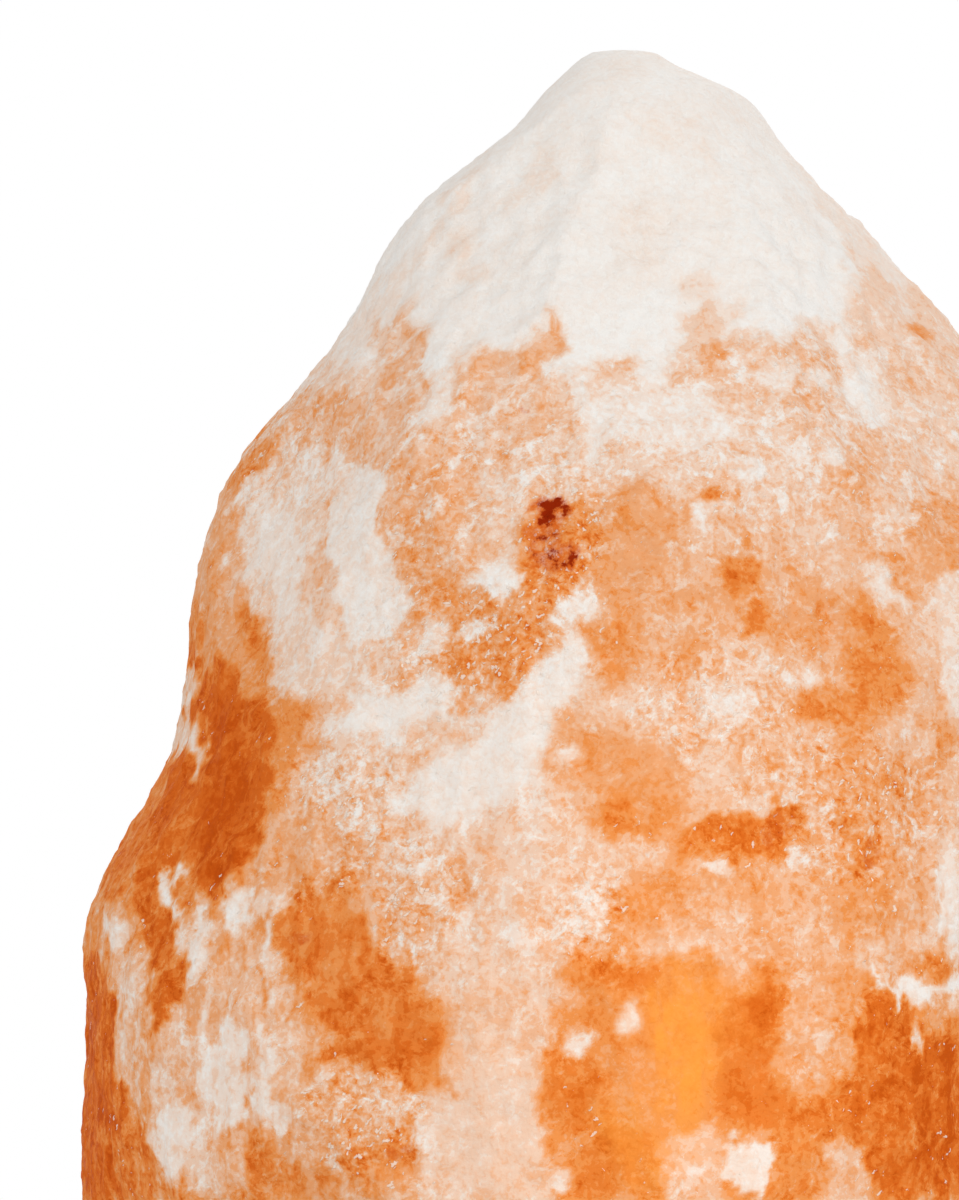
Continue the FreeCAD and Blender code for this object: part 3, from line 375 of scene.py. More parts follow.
# Soft patches are all written as the middle (across, up), half width, half height, tilt in degrees
# and a value. These are washes of iron that lie under the zones; their value is the stain.
IRON_WASHES = (
    (-38, 176, 8, 9, -25, 0.3), (-30.5, 178, 3, 8.5, 0, 0.5), (-20, 175.5, 5, 5, 0, 0.48),
    (-3, 177, 5, 3, 0, 0.34), (22, 179.5, 8, 4.5, 0, 0.36), (35.6, 183, 5, 8, 25, 0.3),
    (38.4, 176.5, 5, 6, 0, 0.28), (-22, 170, 10, 7, 0, 0.44), (-31, 164.8, 4, 4.5, 0, 0.44),
    (-40.4, 172.8, 6.5, 2.2, 20, 0.58), (-52, 166, 1.5, 9, -38, 0.6), (-28.7, 156.3, 6.5, 10, 0, 0.42),
    (-10, 168, 5, 6, 0, 0.28), (6, 172, 13, 5, 0, 0.26), (12, 163, 12, 5, 0, 0.3), (26, 168, 8, 7, 0, 0.28),
    (31, 164.9, 5, 4.5, 0, 0.38), (0.5, 157.4, 7, 9, 0, 0.48), (3.3, 149, 5.5, 7, 0, 0.54),
    (9.6, 154.5, 4.5, 6, 0, 0.36), (16.4, 150.3, 4.2, 3, 0, 0.66), (39.5, 167, 4, 6, 20, 0.3),
    (43.5, 156, 3, 5.5, 0, 0.46), (38.6, 150.5, 3.4, 4.6, 0, 0.5), (32, 156, 5, 7, 0, 0.34),
    (-56.2, 153, 3, 14, 8, 0.52), (-42.2, 150.5, 1.2, 6, 8, 0.5), (-47.5, 143.5, 6, 3, 0, 0.38),
    (-23.2, 147, 3.6, 6.5, 0, 0.66), (-12.6, 147.8, 4.2, 5.5, 0, 0.64), (-20.7, 139.5, 12, 6.5, 0, 0.54),
    (-10, 153.5, 5.5, 8, 0, 0.7), (-46, 134, 9, 5, 0, 0.42), (-33, 139.5, 6, 3, 0, 0.28),
    (-54, 129, 9.5, 12, 5, 0.86), (-58.5, 136, 3, 12, 12, 0.9), (-46, 127, 4, 7, 15, 0.62),
    (-62.5, 124, 5, 9, 20, 0.74), (-24, 127.5, 10, 1.8, 20, 0.34), (-40, 121.5, 8, 6, 0, 0.32),
    (-2, 140.5, 4, 7, 0, 0.6), (8, 141.5, 5.5, 6, 0, 0.5), (17.9, 143.8, 3.6, 3, 0, 0.68),
    (24, 145, 5, 6, 0, 0.52), (33.5, 139.5, 5.5, 10, 8, 0.6), (35, 136, 3, 5, 0, 0.66),
    (31, 130.5, 4, 7, 0, 0.56), (25.5, 132, 3.6, 3.6, -30, 0.76), (42.2, 129, 2.4, 8, 0, 0.5),
    (16, 132, 8, 5, 0, 0.44), (-1, 124.5, 9, 6.5, 0, 0.53), (20, 125, 8, 4, 0, 0.42),
    (36, 121, 8, 6, 0, 0.44), (1.5, 117.5, 7.5, 3.6, 0, 0.66), (12.2, 112.6, 7, 3.4, 0, 0.66),
    (19.7, 115.5, 4, 4.4, 0, 0.76), (31.8, 111.5, 5.5, 6.5, 0, 0.76), (40, 113, 3, 5, 0, 0.46),
    (44.5, 108, 3, 10, 0, 0.26), (-57, 114, 7.5, 10, 12, 1.02), (-54.5, 104.5, 3, 6, 15, 0.86),
    (-66, 108, 5, 10, 25, 0.76), (-70, 104, 4, 6, 15, 0.62), (-68.5, 92, 4.5, 9, 0, 0.5),
    (-63, 98, 4, 13, 2, 0.74), (-73.8, 84, 3, 18, 0, 0.94), (-69, 72, 6, 8, 0, 0.84),
    (-58.5, 87, 7, 16, 0, 0.4), (-73, 66, 3, 8, 0, 0.97), (-46.5, 66, 7, 4, 0, 0.62),
    (-55.4, 96.5, 3, 4, 0, 0.52), (-40.5, 106.5, 6, 7, 0, 0.62), (-42.5, 100, 6, 7, 0, 0.8),
    (-37, 94.5, 9, 6.5, -35, 0.84), (-30, 87, 7.5, 5.5, -25, 0.86), (-29.6, 106, 9, 9, 0, 0.4),
    (-36, 77, 8, 7, 0, 0.54), (-20, 76, 12, 14, 0, 0.33), (-15, 105.5, 8, 11, 0, 0.3),
    (-5.8, 104.6, 4.6, 6, -20, 0.24), (5, 106, 8, 5, 0, 0.56), (-3.8, 95, 6, 4.6, 0, 0.72),
    (20.5, 104, 10, 7, 0, 0.44), (-8.5, 81, 3.6, 10, 0, 0.76), (0, 81, 4.5, 8, 0, 0.52),
    (0, 71, 9, 7, 0, 0.76), (-5, 66, 5, 3, 0, 0.88), (16.5, 84, 6, 12, 0, 0.78), (7, 86, 5, 9, 0, 0.66),
    (20, 74, 3.4, 6, 0, 0.86), (24.8, 88, 4.4, 11, 0, 0.42), (26, 74, 5, 5, 0, 0.8),
    (35, 88, 6, 8, 20, 0.72), (41.5, 79, 7, 11, 10, 0.88), (30, 76, 6, 8, 0, 0.76),
    (42.2, 69, 6, 8, 0, 0.84), (8.9, 69.5, 4.4, 4, 0, 0.4), (30.6, 69.1, 4, 5.5, 10, 0.42),
    (39.4, 105, 5, 8, 0, 0.4), (41, 95.5, 4, 3, 0, 0.62),
)
# The zones that stand out, in the same form as the grounds.
STAIN_ZONES = (
    # the peach and pink salt under the crown
    (0.24, 1.6, -46, 177, -38, 180, -32, 181, -33, 173, -38, 169, -48, 169),
    (0.37, 0.5, -31.5, 184, -28.6, 182, -28.1, 175.3, -24, 175.3, -21.4, 179.6, -17, 181, -14, 180.4,
     -13, 184, -11.5, 184, -11, 178, -8, 177, -7, 171, -12, 168, -20, 166, -29, 166, -34, 168, -37, 172,
     -34, 176, -33, 181),
    (0.42, 0.8, -46, 175, -37, 175.5, -35, 171, -37, 166, -42, 167, -50, 171),
    (0.3, 1.6, 30, 199, 36, 197, 48, 184, 48, 176, 42, 173, 37, 177, 35, 184, 33, 190),
    (0.27, 1.6, 5, 180, 12, 183, 20, 179, 27, 182, 30, 178, 30, 170, 28, 165, 20, 162, 8, 162, 0, 163,
     -4, 160, -6, 166, 0, 168, 3, 172),
    (0.36, 1, 20, 181, 28, 182, 29, 172, 25, 170, 19, 175),
    (0.4, 1.2, 28, 166, 32, 167, 34, 163, 33, 160, 30, 160),
    (0.13, 1.2, -4, 176, 4, 176, 12, 174, 15, 171, 12, 168, 4, 168, -3, 169),
    # left of the middle: cream, two white islands, and the peach lobe beside them
    (0.22, 1.8, -52, 163, -46, 166, -38, 167, -31, 150, -31, 143, -33, 141, -40, 134, -46, 133, -50, 133,
     -51, 138, -50, 145, -54, 150, -53, 158),
    (0.43, 0.6, -33.5, 165, -30, 168, -26, 170, -22, 166, -21, 160, -18, 155, -20, 150, -16, 148, -13, 150,
     -13, 143, -16, 135, -21, 134, -24, 131, -24, 137, -29, 142, -31, 144, -30, 149, -31, 153, -34, 157,
     -33, 162),
    (0.11, 0.4, -38, 166, -36, 165.5, -34, 163, -33, 160, -34, 156, -33, 153, -31, 150, -31, 147,
     -31, 144.5, -34, 142.5, -37.5, 141.5, -39, 141.5, -39, 145, -40.5, 148, -42, 152, -42, 156, -41.5, 160,
     -40, 163),
    (0.13, 1, -50, 158, -46, 158, -44, 155, -45, 150, -46, 145, -48, 144, -49.5, 149, -51, 153),
    (0.38, 0.5, -44.5, 153, -42.6, 153.5, -41.8, 163, -41.2, 163, -41.2, 157, -41.4, 152, -40.2, 149.5,
     -39.3, 146, -39.3, 142, -42.5, 143, -44.8, 148),
    (0.58, 0.8, -26, 151, -22, 150, -17, 148, -14, 147, -12, 144, -13, 140, -16, 134.5, -20, 134.5,
     -23, 137, -26, 141, -29, 143, -29.5, 147),
    (0.62, 0.8, -13, 161, -7, 160, -5, 154, -6, 150, -8, 147, -13, 147, -16, 149, -15, 154),
    (0.3, 1.2, -19, 165, -8, 170, -5, 166, -5, 161, -8, 160, -14, 161, -17, 155, -20, 155, -21, 161),
    (0.22, 0.6, -9.5, 146, -7, 147.8, -4, 147, -4, 144, -7, 143.8, -8.5, 145),
    (0.18, 0.5, -20, 150.5, -17, 151, -14, 149, -15, 147, -18, 148),
    # the left rim and the deep band
    (0.5, 0.9, -60, 163, -53, 163, -53, 158, -54.5, 152, -54, 148, -60, 146),
    (0.52, 1.2, -60, 149, -55, 148, -52, 146, -51, 143, -50.5, 139, -50, 134, -60, 134),
    (0.58, 0.8, -50, 135, -45, 133, -44.5, 129, -46, 124, -47.5, 118, -49.5, 115, -52, 125),
    (0.7, 0.8, -58, 136, -66, 126, -72, 108, -69, 105, -66, 104, -60, 104, -55, 120),
    (0.84, 0.6, -58, 138, -55, 138, -53.5, 134, -50, 134, -49, 130, -48.5, 125, -50, 120, -50, 117,
     -51, 113, -52.5, 110, -53.5, 107, -55, 104.5, -57, 104, -58, 106, -58, 110, -61, 112, -63, 109,
     -62, 104, -61, 100, -61, 91, -62, 91, -65, 88, -66, 92, -66, 104, -68, 110, -64, 118, -62, 126,
     -60, 128, -59.5, 133),
    (0.91, 1.4, -58, 131, -54, 131, -52, 127, -51.5, 120, -52, 114, -53.5, 109, -56, 107, -58, 111,
     -59, 118, -59, 125),
    (0.24, 0.4, -59, 139, -61.5, 137, -64.5, 128, -63, 125.5, -61.5, 127, -60.3, 131),
    (0.18, 0.4, -62, 111, -61.5, 107, -62.5, 104.5, -64.5, 105, -63.5, 108),
    # the white masses of the middle
    (0.07, 0.7, -39, 133, -35, 135, -31, 134.5, -27, 137, -24, 137, -24, 131, -28, 131, -32, 129,
     -36, 128.5, -39, 130.5),
    (0.07, 1.2, -28, 126, -22, 128, -17, 133, -13, 138, -9, 140.5, -6, 139, -7, 135, -10, 131, -11, 127,
     -12, 122, -16, 120.5, -20, 118, -22, 116.5, -27, 116, -33, 118, -33, 121, -28, 123),
    # right of the middle
    (0.5, 1.2, -2, 161, 4, 162, 10, 160, 9, 154, 6, 150, 5, 144, 2, 138, -1, 138, -2, 146, -4, 152,
     -3, 157),
    (0.42, 1.5, 10, 160, 16, 156, 22, 152, 24, 146, 20, 140, 13, 141, 8, 146, 8, 152),
    (0.72, 0.8, 13, 154, 18, 154, 20, 151, 19.5, 148.5, 16, 148, 13, 150),
    (0.68, 0.8, 16, 146.5, 19, 146.5, 19.5, 143, 17, 141.5, 16, 143),
    (0.63, 1, 32, 148, 35, 149, 36.5, 145, 37.5, 140, 37.5, 135, 34, 134, 32, 131, 29, 130, 26, 131,
     25.5, 134, 29, 134, 31, 138, 30, 144),
    (0.5, 0.8, 38, 155, 41, 162, 48, 161, 48, 154, 43, 148, 39, 149, 37, 152),
    (0.23, 1.2, 9.5, 136, 17, 136.5, 17.5, 131, 14, 127, 9.5, 129),
    (0.55, 0.7, -7, 126, -3, 129, 1, 128.5, 2, 126, 3.5, 123, 6.5, 120, 6, 116.5, 3, 115.5, 0, 117,
     -1, 119.5, -4, 119, -4, 121.5, -7, 122),
    (0.51, 1.6, 24, 126, 36, 126, 37, 110, 35, 101, 30, 98, 26, 104, 24, 112, 26, 120),
    (0.74, 0.6, 17, 119, 20, 119.5, 22, 118, 22.5, 114, 21, 111, 18, 112, 13, 112.5, 8, 111, 6, 113,
     9, 115.5, 12, 118, 15, 118),
    (0.68, 0.5, 30.5, 114.5, 32, 114.5, 35.5, 113.5, 36, 111, 31, 110),
    (0.2, 0.7, 42.5, 150, 48, 152, 48, 131, 43, 131, 43, 140),
    (0.14, 0.7, 43, 112, 48, 112, 48, 99, 43, 99, 42, 104),
    # the lower left: drapes between the band and the wedge
    (0.41, 0.7, -53, 110, -50, 117, -48.5, 115, -49, 107, -48, 103, -48.5, 99, -46, 95, -42, 91, -42, 85,
     -39, 84, -31, 81, -29.5, 80, -29, 64, -60, 64, -66, 71, -68.5, 76, -67, 82, -66, 86, -63, 90, -61, 91,
     -61, 100, -60, 102, -57, 103, -54, 106),
    (0.46, 1.2, -49, 116, -44, 119, -40, 115, -37, 110, -38, 104, -42, 110, -49, 107),
    (0.42, 0.8, -71, 106, -67, 104, -66, 98, -66, 92, -65.5, 88, -66, 84, -69, 81, -70.5, 88, -71.5, 94,
     -72, 100),
    (0.28, 1, -70, 99, -67.5, 99, -67, 88, -68.5, 84, -70, 90),
    (0.82, 0.6, -76, 99, -71.8, 96, -71, 88, -70, 82, -68, 78, -66.5, 73, -64, 69, -62, 62, -80, 62,
     -78, 80),
    (0.64, 0.6, -70, 81, -68, 79, -67, 74, -64, 70, -61, 66, -60, 62, -69, 62, -70.5, 72),
    (0.13, 0.4, -57, 88, -55, 90, -53, 87, -52, 80, -54, 75, -57, 75, -57.5, 82),
    (0.13, 0.4, -50.8, 88, -48.5, 87, -48.5, 80, -46.5, 76, -49, 73, -51, 76, -51, 82),
    (0.18, 0.5, -66.5, 75, -63, 80, -61, 78, -61, 70, -63, 68, -66, 72),
    (0.16, 0.3, -50.6, 108, -49, 107, -49, 91, -50.3, 91),
    (0.05, 0.3, -54.5, 106, -53.3, 107.5, -54.5, 102.5, -56.2, 101),
    (0.62, 1, -52, 75, -50, 73, -47, 70, -38, 71, -30, 76, -29, 70, -33, 66, -45, 62, -53, 62),
    # the ragged wedge
    (0.7, 0.8, -42, 110, -38, 109, -37.5, 104, -36.5, 99, -33, 95, -30, 92, -27, 93, -25.5, 89, -26, 86,
     -25.5, 82.5, -24, 80.5, -27, 81, -30, 80, -34, 82.5, -37, 84, -42, 85, -41, 89, -42, 91, -44, 93.5,
     -46, 97, -48, 99.5, -48, 103, -46.5, 106, -45, 108),
    (0.8, 0.9, -48, 103, -46, 103, -44, 99, -41, 95, -37, 92, -34, 88, -29, 88, -28, 84, -29, 80.5,
     -34, 82.5, -40, 84.5, -42, 85, -41, 88.5, -39, 91, -42, 94, -46, 98),
    # the lower middle: a pink veil, the warm orange round the bulb, and what lies in it
    (0.28, 1.2, -29, 80, -24, 80, -22, 85, -20, 88, -12, 85, -12, 76, -13, 62, -29, 62),
    (0.67, 0.9, -9, 96, -5, 97, -2, 95, 3, 97.5, 10, 99, 12, 97, 14, 92, 18, 93, 20, 92, 21, 77, 23, 74,
     28, 78, 29, 74, 28, 69, 26, 62, -10, 62, -9, 68, -12, 74, -12, 84, -8, 88, -7, 92),
    (0.55, 1.2, -4, 86, 0, 87, 3, 84, 3, 76, 0, 74, -4, 76),
    (0.8, 0.8, 12, 90, 15, 92, 19, 93, 20.5, 88, 20, 80, 19, 76, 17, 75, 13, 76, 12, 82),
    (0.5, 1.2, 21, 97, 30, 97, 31, 90, 30, 82, 28, 78, 22, 78, 21.5, 86),
    (0.36, 0.8, 5, 73, 12, 75, 13, 72, 12.5, 68, 14, 62, 5, 62, 4, 67),
    (0.36, 0.8, 28, 72, 31, 74, 33, 69, 34, 62, 28, 62),
    (0.1, 0.3, 13, 72, 16, 73, 19, 72.5, 19.5, 69, 18, 66, 15, 65.3, 13, 67.5, 12.5, 70),
    (0.26, 0.5, -11, 107, -8, 109, -5, 107.5, -3, 104, -3.5, 101, -6, 99, -9, 99.5, -8, 102, -10, 104),
    (0.55, 0.6, -3, 106, 0, 105, 1, 101, 0, 98, -2, 98, -3, 101),
    # the lower right: the deep corner under its white branch lines
    (0.81, 0.8, 31, 88, 31, 90.5, 35, 91.5, 36, 90, 39, 89, 41, 85, 44, 80, 50, 79, 50, 62, 35, 62, 33, 69,
     31, 73, 30, 77, 31, 82),
    (0.88, 1.4, 37, 86, 40, 84, 42, 79, 50, 76, 50, 66, 42, 70, 39, 75, 37, 80),
    (0.54, 0.6, 39, 96.5, 42, 98, 50, 97.5, 50, 95, 42, 94.5, 39.5, 93.8),
    (0.05, 0.3, 33, 97, 36, 95, 39, 93, 41, 93.5, 44, 95, 50, 97, 50, 95.5, 42, 92, 39.5, 91.5, 37, 92.5,
     36, 91, 35.5, 91.2, 35.8, 94, 33, 96),
)
# Small spots of iron that lie over the zones; their value is the stain.
IRON_PATCHES = (
    (-11.9, 205.4, 2.8, 3, -30, 0.16), (-15.5, 202, 2, 4, -30, 0.12), (-23.2, 195.7, 2.2, 2.8, -25, 0.16),
    (-21.5, 191.5, 2.5, 1.2, 0, 0.12), (-25, 200, 1.3, 9, -38, 0.16), (-34, 188, 2, 9, -32, 0.17),
    (6.6, 210.4, 7.5, 3, -25, 0.11), (2, 197, 5, 8, -20, 0.09), (9.5, 190, 2.4, 2.4, 0, 0.17),
    (28, 200, 2, 9, 35, 0.12), (35, 194, 2.5, 8, 38, 0.14), (14.2, 187.9, 3, 1.4, 0, 0.19),
    (-13.5, 179.5, 2.4, 2.4, -20, 0.48), (-10.1, 182.9, 2, 4.2, 0, 0.5), (9.5, 178.1, 4.5, 1.6, 10, 0.38),
    (11.4, 181.3, 1.8, 1.8, 0, 0.46), (39.4, 184.2, 1.6, 1.6, 0, 0.6), (12.3, 161.5, 1.8, 1.6, 0, 0.66),
    (-51.8, 143, 1.4, 5, 8, 0.7), (-50.9, 72, 2, 5, 0, 0.7), (-40, 89, 3, 2, 0, 0.8),
    (19.7, 92, 2.4, 4.5, 0, 0.88),
)
# Where white crust lies on everything else; these have no value of their own.
CRUST_PATCHES = (
    (-37.5, 181, 3, 2.6, 0), (20.8, 178.5, 2.8, 2.2, 0), (25.5, 176.6, 1.6, 1.2, 0),
    (-4.4, 171, 2.2, 3.6, 0), (22.7, 166.4, 1.6, 1.4, 0), (28, 167.5, 1.8, 1.6, 0),
    (16.4, 164.1, 1.3, 1.3, 0), (-26.5, 172.9, 2, 3, 0), (-27.2, 142.6, 2, 3, 0), (-21, 142.8, 2.2, 1.2, 0),
    (-18.8, 149, 4.5, 1.8, -30), (-6.8, 145.6, 4, 2, 0), (10.5, 158, 1.5, 2.2, 0), (35, 148, 2, 4, 30),
    (-59.4, 126.5, 0.9, 3.2, 10), (12.5, 132.4, 2.4, 2.2, -20), (-7, 125.4, 2.4, 1.8, 40),
    (17.6, 118.8, 1.4, 1.6, 0), (-28.8, 109.8, 2.8, 1.3, 0), (-53.2, 105.6, 1.7, 4, 15),
    (-54.6, 102.4, 1, 3.6, 20), (-62.6, 106, 0.7, 4, 20), (-59.2, 103.6, 0.8, 3, 10),
    (-70.4, 101, 1.3, 2.6, 20), (-59.9, 98.4, 1.6, 4.4, 0), (-61.4, 74, 2, 3.6, 0), (12, 110, 3, 0.9, 0),
    (9.5, 69.6, 1.4, 0.9, 0), (42.6, 94, 2.8, 0.9, 25), (40.3, 87, 0.8, 2.4, 10), (0, 90, 2.4, 1.4, 20),
    (-7, 86.4, 1.8, 1.4, 30), (-9, 67.5, 1.4, 1, 0),
)
# How thickly broken crystals lie: near 0 the salt is smooth.
CRYSTAL_PATCHES = (
    (-4, 200, 40, 16, 0, 0.1), (0, 165, 45, 12, 0, 0.55), (-22, 141, 14, 9, 0, 0.95),
    (-8, 155, 7, 12, 0, 0.85), (-28, 152, 7, 12, 0, 0.6), (13, 133, 11, 8, 0, 0.75),
    (-1, 124, 7, 5, 0, 0.2), (1, 156, 5, 9, 0, 0.25), (-38, 121, 10, 7, 0, 0.85),
    (-32, 106, 12, 10, 0, 0.8), (-5.8, 104, 6, 7, 0, 0.9), (-40, 100, 6, 8, -30, 0.15),
    (-30, 87, 7, 4, 0, 0.1), (-36, 76, 9, 7, 0, 0.95), (-19, 76, 9, 14, 0, 0.15),
    (-56, 124, 10, 18, 0, 0.3), (8, 84, 12, 14, 0, 0.15), (30, 118, 14, 10, 0, 0.75),
    (36, 80, 10, 14, 0, 0.45), (20, 178, 16, 6, 0, 0.5), (-48, 168, 8, 10, 0, 0.65),
)
# How rusty the salt is.
RUST_PATCHES = (
    (-10.9, 158.8, 2.8, 2, 0, 1), (-9.3, 152.8, 2.2, 1.6, 0, 0.75), (-11.5, 155.5, 3.5, 4.5, 0, 0.35),
    (19.7, 115.5, 2.5, 3, 0, 0.3), (33, 112, 1.4, 3, 0, 0.3), (-31.5, 70.8, 2.4, 1.4, 20, 0.4),
    (-44.6, 100.4, 1.6, 1, 0, 0.35), (-14.5, 172.5, 1.5, 0.8, 0, 0.3),
)
# Where the bulb's light is painted into the salt's colour as a bright orange, at the thinnest and clearest
# salt.
PAINTED_BULB_LIGHT_PATCHES = (
    (2.5, 73, 7, 8, 0, 0.35), (13, 90, 4, 6, 0, 0.3), (7.8, 86, 4.6, 12, 0, 1),
)


def patch_reach(across, up, patch):
    """How far out in a patch each point lies: 0 at its middle, 1 at its border."""
    x, z, half_width, half_height, tilt = patch[:5]
    turn = math.radians(tilt)
    right, rise = across - x, up - z
    along = right * math.cos(turn) + rise * math.sin(turn)
    over = rise * math.cos(turn) - right * math.sin(turn)
    return np.hypot(along / half_width, over / half_height)


def wash(values, across, up, patches):
    """Lays soft patches over the values."""
    for patch in patches:
        cover = smooth(patch_reach(across, up, patch), 1.35, 0.45)
        values = values + cover * (patch[5] - values)
    return values


def clouds(places, size, shift):
    """Cloudy noise from 0 to 1 at each place."""
    return np.array([0.5 + 0.5 * noise.fractal(p / size + shift * SEED_SHIFT, 0.8, 2.0, 4.0) for p in places])


def inward(across, up, border):
    """How far each point lies inside a border, in millimetres; below 0 outside it."""
    nearest = np.full(len(across), np.inf)
    inside = np.zeros(len(across), bool)
    for (x0, z0), (x1, z1) in zip(border, border[1:] + border[:1]):
        run, rise = x1 - x0, z1 - z0
        share = np.clip(((across - x0) * run + (up - z0) * rise) / (run * run + rise * rise), 0.0, 1.0)
        nearest = np.minimum(nearest, np.hypot(across - x0 - share * run, up - z0 - share * rise))
        crossed = (z0 > up) != (z1 > up)
        inside ^= crossed & (across < x0 + run * (up - z0) / (rise or 1.0))
    return np.where(inside, nearest, -nearest)


def lay_zones(stain, across, up, zones, cover):
    """Lays zones over the stain, each fading out across its border."""
    for level, fade, *corners in zones:
        border = list(zip(corners[::2], corners[1::2]))
        stain = stain + cover * smooth(inward(across, up, border), -fade, fade) * (level - stain)
    return stain


def stain_ahead(across, up):
    """The stain that the front shows: its zones, the small spots of iron over them, and the white crusts."""
    stain = lay_zones(np.full(len(across), CROWN_STAIN), across, up, STAIN_GROUNDS, 1.0)
    stain = wash(stain, across, up, IRON_WASHES)
    stain = lay_zones(stain, across, up, STAIN_ZONES, ZONE_COVER)
    stain = wash(stain, across, up, IRON_PATCHES)
    for patch in CRUST_PATCHES:
        cover = 0.8 * smooth(patch_reach(across, up, patch), 1.5, 0.35)
        stain = stain + cover * (CRUST_STAIN - stain)
    return stain


def paint_guides(mesh, points, places):
    """Paints where the salt is stained, broken, rusty and streaked, and where the bulb's light is painted on
    it, for the salt's finish to follow.
    """
    warp = np.array([noise.turbulence_vector(p / GUIDE_WARP_SIZE, 5, False) for p in places])
    nearer = VIEW_DISTANCE / (VIEW_DISTANCE + points[:, 1])
    view_x = view_middle()
    across = view_x + (points[:, 0] - view_x) * nearer + GUIDE_WARP * warp[:, 0]
    up = VIEW_HEIGHT + (points[:, 2] - VIEW_HEIGHT) * nearer + GUIDE_WARP * warp[:, 2]
    height = points[:, 2]
    front = smooth(points[:, 1], *FRONT_TO_BACK) * smooth(across, *FRONT_TO_SIDE) * smooth(up, *FRONT_TO_FOOT)

    lower = smooth(height, *CROWN_EDGE)
    stain_around = 0.09 + 0.28 * lower + 0.14 * smooth(height, 150.0, 90.0)
    stain_around = stain_around + 0.75 * (clouds(places, 26.0, 1.0) - 0.5) * (0.15 + lower)
    stain_around = stain_around + 0.35 * (clouds(places, 11.0, 3.0) - 0.5) * (0.10 + lower)
    stain_around = stain_around - 0.35 * np.clip(clouds(places, 15.0, 2.0) - 0.5, 0.0, 0.5)
    stain_around = np.clip(stain_around, 0.03, 0.86)
    grain_around = np.clip(0.10 + 0.35 * lower + 0.8 * (clouds(places, 15.0, 4.0) - 0.5), 0.0, 1.0)
    grain_ahead = wash(0.08 + 0.30 * lower, across, up, CRYSTAL_PATCHES)
    rust = wash(np.zeros(len(points)), across, up, RUST_PATCHES) * front
    drapes = smooth(height, 128.0, 100.0) * smooth(np.abs(across), 15.0, 45.0)
    # where the bulb's light is painted into the salt's colour
    painted_bulb_light = wash(np.zeros(len(points)), across, up, PAINTED_BULB_LIGHT_PATCHES) * front
    from_bulb = np.sqrt((points[:, 0] - 5.0) ** 2 * 1.6 + (height - GLOW_HEIGHT - 8.0) ** 2 * 0.55)

    stain = stain_around + front * (stain_ahead(across, up) - stain_around)
    grain = grain_around + front * (grain_ahead - grain_around)
    # the bulb's light painted as a glow that the salt gives off, strongest near the bulb
    glow = smooth(from_bulb, *GLOW_REACH)
    paint(mesh, "salt_stain_and_painted_glow", stain, grain, rust, glow)
    paint(mesh, "salt_streak_and_painted_light", 0.15 + 0.85 * drapes, painted_bulb_light)


def paint(mesh, name, *values):
    """Paints up to four values on every point, as one colour that the finish reads."""
    colours = np.ones((len(mesh.vertices), 4), np.float32)
    colours[:, :len(values)] = np.stack(values, axis=1)
    attribute = mesh.attributes.new(name, "FLOAT_COLOR", "POINT")
    attribute.data.foreach_set("color", colours.ravel())


def view_middle():
    """Where the middle of the photograph lies across the rock, from the bore's axis."""
    return (PHOTO_SIZE[0] / 2 - BORE_AXIS_PIXEL) * PHOTO_MM_PER_PIXEL


def make_rock():
    noise.seed_set(NOISE_SEED)
    mesh = rock_blank()
    points, normals = points_of(mesh)
    places = [Vector(p) for p in points]
    worn = 1.0 - 0.75 * smooth(points[:, 2], PEAK_HEIGHT - 22.0, PEAK_HEIGHT - 4.0)
    depth = np.array([hewn_depth(p) for p in places]) * outer_skin(points) * worn
    hewn = points + normals * depth[:, None]
    mesh.vertices.foreach_set("co", (hewn * MM).ravel())
    mesh.shade_smooth()
    paint_guides(mesh, points, places)
    rock = link(bpy.data.objects.new("hewn_salt_crystal", mesh))
    finish_piece(rock, salt_finish(), "lamp", "rock_salt", "salt_crystal")


# --- The rock's finish ---
# The salt's tones by depth of stain.
SALT_TONES = (
    (0.00, tone(242, 239, 234)), (0.14, tone(240, 226, 214)), (0.30, tone(238, 201, 174)),
    (0.46, tone(236, 172, 124)), (0.62, tone(234, 146, 76)), (0.76, tone(226, 118, 42)),
    (0.90, tone(208, 90, 20)), (1.00, tone(192, 78, 14)),
)
# The same tones as torn layers show them: how many steps, and the share of a step that its border takes.
STEP_COUNT = 9
STEP_EDGE = 0.18
# The bright orange of the bulb's light, painted into the salt's colour.
PAINTED_LIT_SALT = tone(253, 166, 70)
SLIVER_WHITE = tone(248, 234, 220)
# The white of the glints: small painted highlights.
PAINTED_GLINT_WHITE = tone(252, 242, 230)
RUST_RIM = tone(206, 84, 26)
RUST_RED = tone(150, 38, 6)
# The tones and strength of the glow painted on the salt as the bulb's light.
PALE_PAINTED_GLOW = tone(210, 150, 90)
DEEP_PAINTED_GLOW = tone(215, 115, 20)
SALT_GLOW = 0.17
SALT_SHEEN = 0.01
SALT_SHEEN_TINT = (1.0, 0.80, 0.62, 1.0)
SALT_RELIEF = 0.50


def tone_at(level, tones):
    """The tone at a level between two neighbouring tones."""
    for (low, first), (high, last) in zip(tones, tones[1:]):
        if level <= high:
            share = (level - low) / (high - low)
            return tuple(a + share * (b - a) for a, b in zip(first, last))
    return tones[-1][1]


def stepped_tones(tones):
    """The same tones as flat steps with narrow borders between them, as torn layers of salt show."""
    stops = []
    for step in range(STEP_COUNT):
        flat = tone_at((step + 0.5) / STEP_COUNT, tones)
        stops.append(((step + STEP_EDGE) / STEP_COUNT, flat))
        stops.append(((step + 1 - STEP_EDGE) / STEP_COUNT, flat))
    return stops


